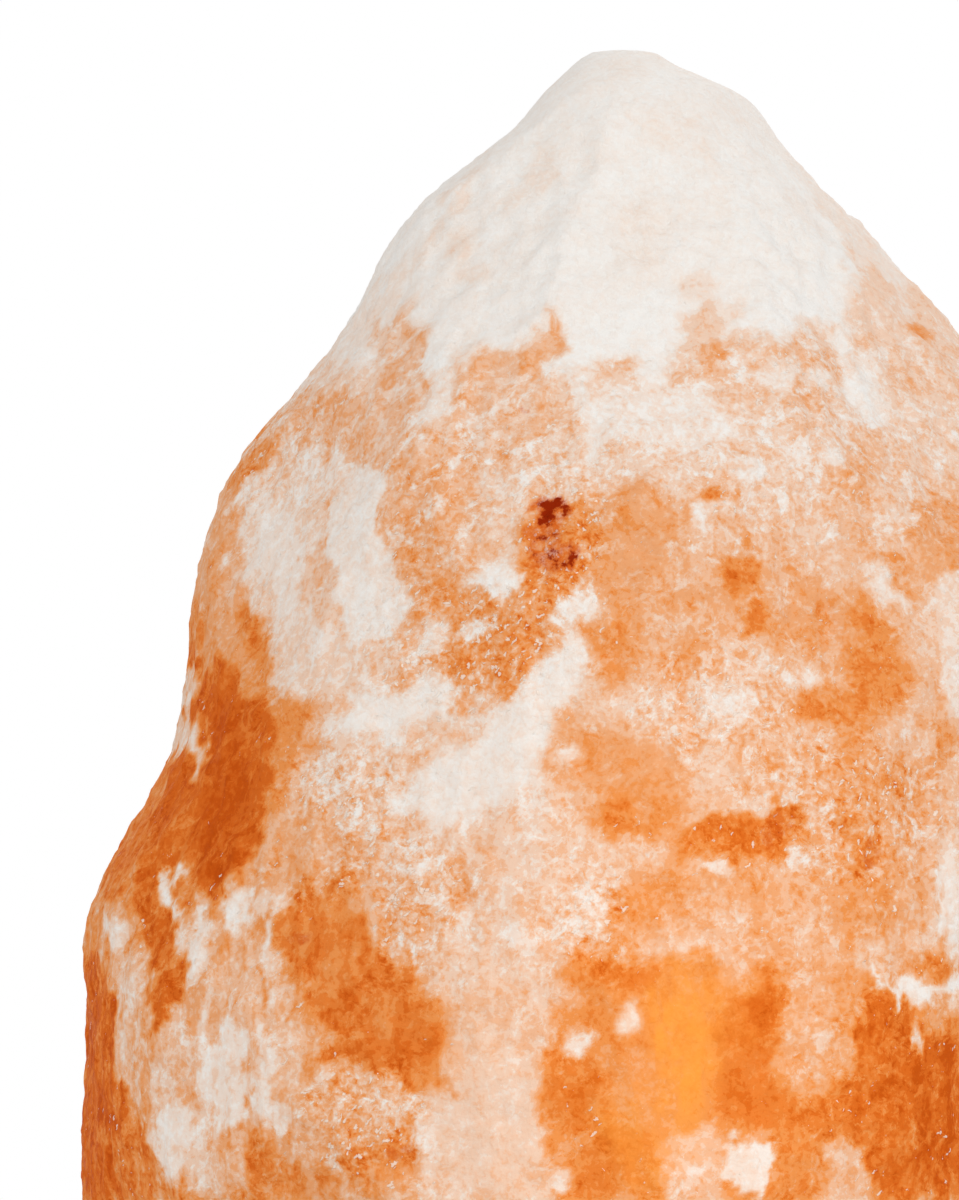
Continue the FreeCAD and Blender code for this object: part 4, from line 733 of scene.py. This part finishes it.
def salt_finish():
    """Iron-stained translucent salt: one depth of stain, clouded, streaked, torn and broken into crystals,
    with painted glints, the bulb's light painted into its colour and a painted glow.
    """
    material, lay, shader = new_finish("rock_salt_lit", IOR=1.54, Specular_IOR_Level=SALT_SHEEN,
                                       Specular_Tint=SALT_SHEEN_TINT, Emission_Strength=SALT_GLOW)
    where = lay.place()
    stain, grain, rust, glow = lay.guide("salt_stain_and_painted_glow")
    streak, painted_bulb_light = lay.guide("salt_streak_and_painted_light")[:2]

    # the depth of stain, torn and clouded
    wandering = lay.wander(where, 6.0, 2.4)
    broad = lay.noise(wandering, 9.0, 6.0, 0.55)
    ragged = lay.noise(lay.wander(where, 2.5, 1.0), 2.6, 8.0, 0.66)
    fine = lay.noise(lay.wander(where, 1.4, 0.7), 0.9, 4.0, 0.60)
    strands = lay.noise(lay.stretch(wandering, (2.0, 2.0, 14.0)), 1.0, 4.0, 0.55)
    calm = lay.times(lay.spread(stain, 0.04, 0.30, 0.60, 1.0), lay.spread(stain, 0.65, 1.0, 1.0, 0.6))
    tearing = lay.times(lay.spread(grain, 0.05, 0.60, 0.24, 0.58), calm)
    crumbling = lay.times(lay.spread(grain, 0.1, 1.0, 0.18, 0.80), calm)
    level = lay.add(stain, lay.times(lay.swing(broad, 0.36), calm),
                    lay.times(lay.swing(ragged, 1.0), tearing), lay.times(lay.swing(fine, 1.3), crumbling),
                    lay.times(lay.swing(strands, 0.75), streak, calm), lay.swing(fine, 0.10))

    # white chips and dark pits
    chip_cloud = lay.noise(lay.turned(wandering, (0.4, 0.5, 0.7), (1.7, 0.9, 0.9)), 3.4, 9.0, 0.70)
    pit_cloud = lay.noise(lay.turned(wandering, (0.2, 0.9, 0.3), (1.0, 1.0, 1.6)), 2.8, 9.0, 0.70)
    chips = lay.times(lay.spread(chip_cloud, 0.545, 0.585), lay.spread(stain, 0.12, 0.30), -0.13)
    pits = lay.times(lay.spread(pit_cloud, 0.565, 0.600), lay.spread(stain, 0.22, 0.40), 0.11)
    level = lay.add(level, lay.times(lay.add(chips, pits), lay.spread(grain, 0.0, 0.7, 0.35, 1.3)))

    # the salt's body, soft in some places and torn into steps in others, with the bulb's light painted into
    # its colour as a bright orange
    soft = lay.ramp(level, *SALT_TONES)
    stepped = lay.ramp(level, *stepped_tones(SALT_TONES))
    crisp = lay.times(lay.spread(lay.noise(where, 13.0, 4.0, 0.5), 0.42, 0.56, 0.35, 0.9),
                      lay.spread(stain, 0.06, 0.24, 0.15, 1.0))
    body = lay.mix(crisp, soft, stepped)
    # how much of the painted bulb light shows, broken up by clouds and strands
    clear = lay.times(lay.spread(level, 0.0, 0.5, 0.35, 1.0), lay.spread(broad, 0.35, 0.6, 0.6, 0.95),
                      lay.spread(lay.add(strands, lay.swing(ragged, 0.6)), 0.36, 0.60, 0.45, 1.0))
    body = lay.mix(lay.times(painted_bulb_light, clear), body, PAINTED_LIT_SALT)

    # small broken crystals as white slivers first, then round glints, which are painted highlights
    fleck_place = lay.turned(lay.wander(where, 1.1, 0.9), (0.6, 0.5, 0.8), (2.0, 0.6, 0.6))
    fleck_distance, fleck_colour = lay.cells(fleck_place, 1.0)
    fleck_lot = lay.add(lay.split(fleck_colour)[0], lay.times(grain, 0.62), lay.swing(broad, 0.8))
    fleck_size = lay.times(lay.spread(fleck_lot, 1.02, 1.40), 0.42)
    fleck_reach = lay.add(fleck_distance, lay.swing(fine, 0.30))
    fleck = lay.spread(fleck_reach, fleck_size, lay.sum("SUBTRACT", fleck_size, 0.10))
    body = lay.mix(lay.times(fleck, 0.7), body, SLIVER_WHITE)
    # round glints: small highlights painted into the salt's colour
    glint_place = lay.wander(where, 1.2, 1.1)
    glint_distance, glint_colour = lay.cells(glint_place, 1.4)
    chosen = lay.spread(lay.split(glint_colour)[1], 0.55, 0.65)
    glint_size = lay.times(lay.spread(grain, 0.1, 1.0, 0.04, 0.24), chosen, lay.spread(fine, 0.42, 0.56))
    painted_glint = lay.spread(glint_distance, glint_size, lay.times(glint_size, 0.4))
    body = lay.mix(lay.times(painted_glint, 0.8), body, PAINTED_GLINT_WHITE)

    # spots of rust with a reddened rim
    rust_cloud = lay.noise(where, 1.6, 6.0, 0.7)
    rust_seat = lay.spread(rust, 0.02, 0.3)
    reddened = lay.times(lay.spread(lay.add(rust, lay.swing(rust_cloud, 1.2)), 0.10, 0.50), rust_seat)
    rusty = lay.times(lay.spread(lay.add(rust, lay.swing(rust_cloud, 1.5)), 0.42, 0.62), rust_seat)
    body = lay.mix(lay.times(reddened, 0.65), body, RUST_RIM)
    body = lay.mix(rusty, body, RUST_RED)
    lay.feed(shader.inputs["Base Color"], body)

    # the bulb's light from inside, painted as a glow that the salt gives off, then the skin's dullness and
    # its relief
    painted_glow_tone = lay.mix(lay.spread(level, 0.0, 0.7), PALE_PAINTED_GLOW, DEEP_PAINTED_GLOW)
    lay.feed(shader.inputs["Emission Color"], lay.mix(glow, tone(0, 0, 0), painted_glow_tone))
    lay.feed(shader.inputs["Roughness"], lay.spread(level, 0.1, 0.7, 0.72, 0.52))
    height = lay.add(lay.times(fine, 0.35), lay.times(ragged, 0.8), lay.times(fleck, 0.15),
                     lay.times(level, -0.10))
    lay.feed(shader.inputs["Normal"], lay.relief(height, SALT_RELIEF))
    return material


# --- Effects that several finishes share, as node groups ---
def new_effect(name, inputs, outputs):
    """An empty node group with named sockets: inputs as (name, kind, default), outputs as (name, kind)."""
    group = bpy.data.node_groups.new(name, "ShaderNodeTree")
    for label, kind, default in inputs:
        made = group.interface.new_socket(label, in_out="INPUT", socket_type="NodeSocket" + kind)
        if default is not None:
            made.default_value = default
    for label, kind in outputs:
        group.interface.new_socket(label, in_out="OUTPUT", socket_type="NodeSocket" + kind)
    lay = Recipe(group)
    return lay, lay.node_of("NodeGroupInput").outputs, lay.node_of("NodeGroupOutput").inputs


def make_edge_wear():
    """1 where an edge is rubbed: the true normal turns away from the rounded one, in broken stretches."""
    lay, given, made = new_effect("edge_wear", (("Reach", "Float", 0.4), ("Amount", "Float", 1.0)),
                                  (("Wear", "Float"), ("Normal", "Vector")))
    rounded = lay.node("Bevel", samples=4)
    lay.feed(rounded.inputs["Radius"], lay.times(given["Reach"], MM))
    turn = lay.node("VectorMath", operation="DOT_PRODUCT")
    lay.feed(turn.inputs[0], rounded.outputs[0])
    lay.feed(turn.inputs[1], lay.node("NewGeometry").outputs["Normal"])
    broken = lay.noise(lay.place(), 2.2, 5.0, 0.65)
    edge = lay.spread(turn.outputs["Value"], 0.985, 0.86)
    rubbed = lay.times(edge, lay.spread(broken, 0.40, 0.62), given["Amount"])
    lay.feed(made["Wear"], rubbed)
    lay.feed(made["Normal"], rounded.outputs[0])


def make_brushing():
    """Fine drawn lines along one way, and how dull the metal is between them."""
    lay, given, made = new_effect("brushing", (("Place", "Vector", None), ("Line Width", "Float", 0.15),
                                               ("Along", "Vector", (1.0, 1.0, 1.0))),
                                  (("Lines", "Float"), ("Dulling", "Float")))
    drawn = lay.stretch(given["Place"], given["Along"])
    fine = lay.node("TexNoise")
    lay.feed(fine.inputs["Vector"], drawn)
    lay.feed(fine.inputs["Scale"], lay.sum("DIVIDE", 1.0, given["Line Width"]))
    lay.feed(fine.inputs["Detail"], 3.0)
    lay.feed(made["Lines"], fine.outputs[0])
    lay.feed(made["Dulling"], lay.noise(given["Place"], 6.0, 6.0, 0.6))


def make_tarnish():
    """Patches where metal has gone dull, thicker the larger the amount, with small spots at their borders."""
    lay, given, made = new_effect("tarnish", (("Place", "Vector", None), ("Size", "Float", 5.0),
                                              ("Amount", "Float", 0.4)), (("Tarnish", "Float"),))
    clouds_at = lay.stretch(given["Place"], lay.joined(given["Size"]))
    cloud = lay.noise(clouds_at, 1.0, 8.0, 0.62)
    spot = lay.noise(given["Place"], 0.7, 3.0, 0.6)
    low = lay.sum("SUBTRACT", 0.72, lay.times(given["Amount"], 0.4))
    covered = lay.spread(lay.add(cloud, lay.swing(spot, 0.35)), low, lay.add(low, 0.14))
    lay.feed(made["Tarnish"], covered)


def make_mould_skin():
    """The fine grain of a moulded surface, and the dust that settles on what faces up."""
    lay, given, made = new_effect("mould_skin", (("Place", "Vector", None), ("Grain", "Float", 0.25),
                                                 ("Dust", "Float", 0.3)),
                                  (("Skin", "Float"), ("Dust", "Float")))
    grained = lay.stretch(given["Place"], lay.joined(given["Grain"]))
    lay.feed(made["Skin"], lay.noise(grained, 1.0, 4.0, 0.6))
    facing_up = lay.part_along(lay.node("NewGeometry").outputs["Normal"], 2)
    drift = lay.swing(lay.noise(given["Place"], 3.0, 6.0, 0.6), 1.4)
    settled = lay.spread(lay.add(facing_up, drift), 0.1, 1.2)
    lay.feed(made["Dust"], lay.times(settled, given["Dust"]))


# --- The other finishes ---
def lacquered_wood():
    """Dark-stained hardwood off a lathe: growth rings, pores, lathe lines and a satin lacquer."""
    material, lay, shader = new_finish("stained_hardwood", IOR=1.5, Coat_Weight=0.25, Coat_Roughness=0.32)
    where = lay.place()
    plank = lay.vector("ADD", lay.wander(lay.stretch(where, (5.0, 1.0, 1.0)), 16.0, 2.2), PITH)
    from_pith = lay.length(lay.vector("MULTIPLY", plank, (0.0, 1.0, 1.0)))
    years = lay.sum("DIVIDE", from_pith, RING_WIDTH)
    ring = lay.sum("FRACT", lay.add(years, lay.swing(lay.noise(where, 30.0, 3.0), 1.6)))
    late_wood = lay.times(lay.spread(ring, 0.25, 0.88), lay.spread(ring, 1.0, 0.92))
    pore_place = lay.stretch(lay.wander(where, 5.0, 0.6), (7.0, 0.32, 0.32))
    pore_distance, pore_colour = lay.cells(pore_place, 1.0)
    open_pore = lay.spread(lay.split(pore_colour)[0], 0.55, 0.7)
    pores = lay.times(lay.spread(pore_distance, 0.34, 0.16), open_pore)
    fibre = lay.noise(lay.stretch(where, (14.0, 0.5, 0.5)), 1.0, 6.0, 0.65)
    cloud = lay.noise(where, 22.0, 5.0, 0.6)
    depth = lay.add(lay.times(late_wood, 0.42), lay.times(fibre, 0.55), lay.swing(cloud, 0.5))
    stained = lay.ramp(depth, (0.20, tone(88, 50, 28)), (0.42, tone(72, 38, 21)), (0.62, tone(56, 28, 16)),
                       (0.85, tone(40, 20, 12)))
    pored = lay.mix(lay.times(pores, 0.75), stained, tone(24, 12, 8))
    edges = lay.effect("edge_wear", Reach=0.8, Amount=0.7)
    worn = lay.mix(edges["Wear"], pored, tone(120, 76, 44))
    skin = lay.effect("mould_skin", Place=where, Grain=0.4, Dust=0.12)
    dusted = lay.mix(skin["Dust"], worn, tone(166, 148, 132))
    lay.feed(shader.inputs["Base Color"], dusted)
    lay.feed(shader.inputs["Roughness"], lay.add(0.34, lay.times(pores, 0.2), lay.times(skin["Dust"], 0.5),
                                                 lay.times(fibre, 0.12)))
    from_axis = lay.length(lay.vector("MULTIPLY", where, (1.0, 1.0, 0.0)))
    lathe = lay.sum("SINE", lay.times(from_axis, 9.0))
    height = lay.add(lay.times(lathe, 0.05), lay.times(fibre, 0.30), lay.times(pores, -0.8))
    lay.feed(shader.inputs["Normal"], lay.relief(height, 0.10, edges["Normal"]))
    return material


def metal(name, bright, dull, roughness, line_width, along, tarnished, patch_size=5.0):
    """Metal with drawn or rolled lines, a thin tarnish in patches and edges rubbed bright."""
    material, lay, shader = new_finish(name, Metallic=1.0)
    where = lay.place()
    brushed = lay.effect("brushing", **{"Place": where, "Line Width": line_width, "Along": along})
    dulled = lay.effect("tarnish", Place=where, Size=patch_size, Amount=tarnished)["Tarnish"]
    edges = lay.effect("edge_wear", Reach=0.12, Amount=0.8)
    between = tone(*[0.9 * part for part in bright])
    clean = lay.mix(lay.spread(brushed["Lines"], 0.3, 0.7), between, tone(*bright))
    body = lay.mix(lay.times(dulled, 0.8), clean, tone(*dull))
    lay.feed(shader.inputs["Base Color"], lay.mix(lay.times(edges["Wear"], 0.6), body, tone(*bright)))
    rough = lay.add(roughness, lay.swing(brushed["Dulling"], 0.25), lay.times(dulled, 0.22))
    lay.feed(shader.inputs["Roughness"], lay.sum("MAXIMUM", rough, 0.08))
    lay.feed(shader.inputs["Normal"], lay.relief(brushed["Lines"], 0.02, edges["Normal"]))
    return material


def moulding(name, body, worn, roughness, grain, dust, coat=0.0):
    """A moulded or fired skin: fine grain, faint flow marks, rubbed edges and settled dust."""
    material, lay, shader = new_finish(name, IOR=1.5, Coat_Weight=coat, Coat_Roughness=0.08)
    where = lay.place()
    skin = lay.effect("mould_skin", Place=where, Grain=grain, Dust=dust)
    edges = lay.effect("edge_wear", Reach=0.25, Amount=0.8)
    flow = lay.noise(lay.wander(where, 8.0, 3.0), 5.0, 5.0, 0.6)
    paler = tone(*[min(255, part * 1.12 + 3) for part in body])
    shaded = lay.mix(lay.spread(flow, 0.35, 0.7), tone(*body), paler)
    rubbed = lay.mix(edges["Wear"], shaded, tone(*worn))
    lay.feed(shader.inputs["Base Color"], lay.mix(skin["Dust"], rubbed, tone(176, 166, 154)))
    rough = lay.add(roughness, lay.swing(flow, 0.2), lay.times(skin["Dust"], 0.4))
    lay.feed(shader.inputs["Roughness"], lay.sum("MAXIMUM", rough, 0.06))
    lay.feed(shader.inputs["Normal"], lay.relief(skin["Skin"], 0.04, edges["Normal"]))
    return material


def glass(name, tint, smoke):
    """Blown glass with faint streaks in its tint and a breath of dust."""
    material, lay, shader = new_finish(name, IOR=1.5, Transmission_Weight=1.0)
    where = lay.place()
    streaks = lay.noise(lay.stretch(where, (3.0, 3.0, 14.0)), 1.0, 4.0, 0.5)
    lay.feed(shader.inputs["Base Color"], lay.mix(lay.spread(streaks, 0.35, 0.7), tone(*tint), tone(*smoke)))
    skin = lay.effect("mould_skin", Place=where, Grain=1.5, Dust=0.12)
    lay.feed(shader.inputs["Roughness"], lay.add(0.02, lay.times(skin["Dust"], 0.8)))
    lay.feed(shader.inputs["Normal"], lay.relief(streaks, 0.02))
    return material


def glowing_tungsten():
    """Drawn tungsten, lit: brightest at its middle and duller where its supports cool it."""
    material, lay, shader = new_finish("lit_tungsten", Metallic=1.0, Roughness=0.4, Emission_Strength=1.6)
    where = lay.place()
    drawn = lay.noise(lay.stretch(where, (0.1, 0.5, 0.5)), 1.0, 4.0, 0.6)
    lay.feed(shader.inputs["Base Color"], lay.mix(drawn, tone(92, 90, 88), tone(130, 126, 120)))
    from_middle = lay.sum("ABSOLUTE", lay.part_along(where, 0))
    heat = lay.spread(from_middle, 9.0, 3.0, 0.25, 1.0)
    lay.feed(shader.inputs["Emission Color"], lay.mix(heat, tone(200, 70, 10), tone(255, 196, 110)))
    return material


def dress(material, *names):
    """Gives CAD nodes their finish."""
    for name in names:
        slots = NODES[name].material_slots
        for slot in slots:
            slot.material = material
        if not slots:
            NODES[name].data.materials.append(material)


def dress_base():
    dress(lacquered_wood(), "wood_base")
    dress(moulding("foot_rubber_used", (34, 33, 32), (64, 60, 56), 0.72, 0.30, 0.30), "rubber_feet")
    zinc = metal("zinc_plate", (206, 208, 210), (150, 148, 140), 0.34, 0.30, (1.0, 1.0, 1.0), 0.35)
    dress(zinc, "base_screws", "screw_washers", "bracket_plate", "cord_nipple", "lock_nut", "lock_washer",
          "finger_clips", "clip_rivets")
    dress(moulding("grey_nylon_plug", (148, 149, 147), (176, 176, 172), 0.46, 0.20, 0.12), "screw_plugs")


def dress_holder():
    spring = metal("blued_spring_steel", (148, 152, 160), (92, 92, 98), 0.28, 0.12, (1.0, 1.0, 30.0), 0.30)
    dress(spring, "spring_finger_left", "spring_finger_front", "spring_finger_right")
    black = moulding("black_phenolic", (24, 22, 21), (58, 52, 47), 0.30, 0.22, 0.28)
    dress(black, "socket_cap", "socket_shell")
    dress(moulding("glazed_ceramic", (234, 231, 224), (214, 206, 194), 0.30, 0.50, 0.10, 0.5), "socket_core")
    brass = metal("aged_brass", (224, 190, 118), (138, 104, 60), 0.26, 0.20, (1.0, 1.0, 0.2), 0.45)
    dress(brass, "terminal_screws")
    make_screw_liner(brass)
    dress(metal("sprung_bronze", (212, 150, 96), (128, 80, 50), 0.30, 0.10, (12.0, 1.0, 1.0), 0.40),
          "centre_contact")


def dress_bulb():
    make_screw_cap(metal("nickel_plate", (214, 212, 204), (166, 160, 146), 0.22, 0.25, (20.0, 20.0, 0.3),
                         0.30))
    dress(metal("soft_solder", (196, 196, 198), (138, 138, 140), 0.36, 0.60, (1.0, 1.0, 1.0), 0.50, 2.0),
          "bulb_tip_contact")
    dress(moulding("black_glass_bead", (18, 17, 20), (44, 42, 46), 0.12, 1.20, 0.10, 0.4), "bulb_insulator")
    dress(glass("clear_bulb_glass", (255, 255, 255), (246, 248, 248)), "bulb_glass")
    dress(glass("lead_stem_glass", (240, 246, 242), (226, 236, 230)), "bulb_stem")
    dress(metal("nickel_iron_wire", (186, 172, 158), (120, 96, 78), 0.32, 0.10, (1.0, 1.0, 10.0), 0.45, 1.5),
          "lead_wires", "filament_supports")
    dress(glowing_tungsten(), "filament")


# --- The screw cap and its liner ---
def wall_points(radius, low, high):
    """Points up a wall that takes a thread, as (radius, height, 1)."""
    return [(radius, height, 1.0) for height in np.arange(low, high + 0.5 * WALL_STEP, WALL_STEP)]


def threaded_sleeve(name, section, thread):
    """A sleeve turned from a closed section of (radius, height, wall), its wall rolled into a thread."""
    radius, height, wall = np.array(section).T[:, :, None]
    turn = np.linspace(0.0, 2.0 * math.pi, ROUND_STEPS, endpoint=False)
    low, high = thread
    rolled = wall * smooth(height, low, low + THREAD_RUN_IN) * smooth(height, high, high - THREAD_RUN_IN)
    swell = np.cos(2.0 * math.pi * height / THREAD_PITCH - turn) - 1.0
    radius = radius + 0.5 * THREAD_DEPTH * rolled * swell
    points = np.stack([radius * np.cos(turn), radius * np.sin(turn), height + 0.0 * turn], axis=2)
    corner = np.arange(len(section) * ROUND_STEPS).reshape(-1, ROUND_STEPS)
    above = np.roll(corner, -1, axis=0)
    faces = np.stack([corner, np.roll(corner, -1, axis=1), np.roll(above, -1, axis=1), above], axis=2)
    mesh = bpy.data.meshes.new(name)
    mesh.from_pydata((points.reshape(-1, 3) * MM).tolist(), [], faces.reshape(-1, 4).tolist())
    mesh.shade_smooth()
    mesh.set_sharp_from_angle(angle=math.radians(40))
    return link(bpy.data.objects.new(name, mesh))


def make_screw_cap(nickel):
    """The bulb's cap of thin rolled sheet: a threaded wall, and a floor that holds the insulator."""
    outside = wall_points(CAP_RADIUS, *CAP_HEIGHTS)
    inside = wall_points(CAP_RADIUS - SHEET_THICKNESS, *CAP_HEIGHTS)[::-1]
    cap = threaded_sleeve("threaded_bulb_cap", [*outside, *inside, *CAP_FLOOR], CAP_THREAD)
    finish_piece(cap, nickel, "bulb", "nickel_cap", "bulb_cap")


def make_screw_liner(brass):
    """The liner's brass sleeve, whose thread runs a hair outside the cap's."""
    outside = wall_points(LINER_RADIUS + SHEET_THICKNESS, *LINER_OUTSIDE)
    inside = wall_points(LINER_RADIUS, *LINER_INSIDE)[::-1]
    liner = threaded_sleeve("threaded_liner", [*outside, *inside, *LINER_FLOOR], LINER_THREAD)
    finish_piece(liner, brass, "holder", "holder_brass", "thread_liner")


# --- Camera, light and floor ---
def set_camera():
    camera = bpy.data.cameras.new("camera")
    camera.sensor_width = SENSOR_LONG_SIDE
    camera.lens = SENSOR_LONG_SIDE * VIEW_DISTANCE / (PHOTO_SIZE[1] * PHOTO_MM_PER_PIXEL)
    stand = link(bpy.data.objects.new("camera", camera))
    stand.location = (view_middle() * MM, -VIEW_DISTANCE * MM, VIEW_HEIGHT * MM)
    stand.rotation_euler = (math.radians(90), 0, 0)
    bpy.context.scene.camera = stand


def hang_light(name, place, power, colour):
    """A square soft light at a place, facing the rock's middle."""
    lamp = bpy.data.lights.new(name, "AREA")
    lamp.size = LIGHT_SIZE
    lamp.energy = power
    lamp.color = colour
    stand = link(bpy.data.objects.new(name, lamp))
    stand.location = place
    aim = Vector(LIT_POINT) - stand.location
    stand.rotation_euler = aim.to_track_quat("-Z", "Y").to_euler()


def light_studio():
    """Even soft light from above and around, with a white backdrop that lights nothing."""
    world = bpy.data.worlds.new("studio")
    world.use_nodes = True
    bpy.context.scene.world = world
    lay = Recipe(world.node_tree)
    room = world.node_tree.nodes["Background"]
    room.inputs["Color"].default_value = tone(250, 250, 252)
    room.inputs["Strength"].default_value = ROOM_STRENGTH
    backdrop = lay.node("Background")
    backdrop.inputs["Color"].default_value = (1.0, 1.0, 1.0, 1.0)
    backdrop.inputs["Strength"].default_value = 1.0
    ray = lay.node("LightPath")
    seen = lay.sum("MAXIMUM", ray.outputs["Is Camera Ray"], ray.outputs["Is Glossy Ray"])
    seen = lay.sum("MAXIMUM", seen, ray.outputs["Is Transmission Ray"])
    either = lay.node("MixShader")
    lay.feed(either.inputs[0], seen)
    lay.feed(either.inputs[1], room.outputs[0])
    lay.feed(either.inputs[2], backdrop.outputs[0])
    lay.feed(world.node_tree.nodes["World Output"].inputs["Surface"], either.outputs[0])
    for light in LIGHTS:
        hang_light(*light)
    bpy.context.scene.view_settings.view_transform = "Standard"


def lay_floor():
    """A small pale floor that keeps the lamp's shadow and fades into the white backdrop."""
    bpy.ops.mesh.primitive_circle_add(vertices=96, radius=0.5, fill_type="NGON")
    floor = bpy.context.object
    floor.name = "floor"
    material, lay, shader = new_finish("pale_floor", Roughness=0.8, Base_Color=tone(236, 235, 233))
    seen_from_above = lay.sum("SUBTRACT", 1.0, lay.node("NewGeometry").outputs["Backfacing"])
    fade = lay.spread(lay.length(lay.place()), FLOOR_FADE[1], FLOOR_FADE[0])
    lay.feed(shader.inputs["Alpha"], lay.times(fade, seen_from_above))
    floor.data.materials.append(material)


for make_effect in (make_edge_wear, make_brushing, make_tarnish, make_mould_skin):
    make_effect()
make_rock()
dress_base()
dress_holder()
dress_bulb()
set_camera()
light_studio()
lay_floor()
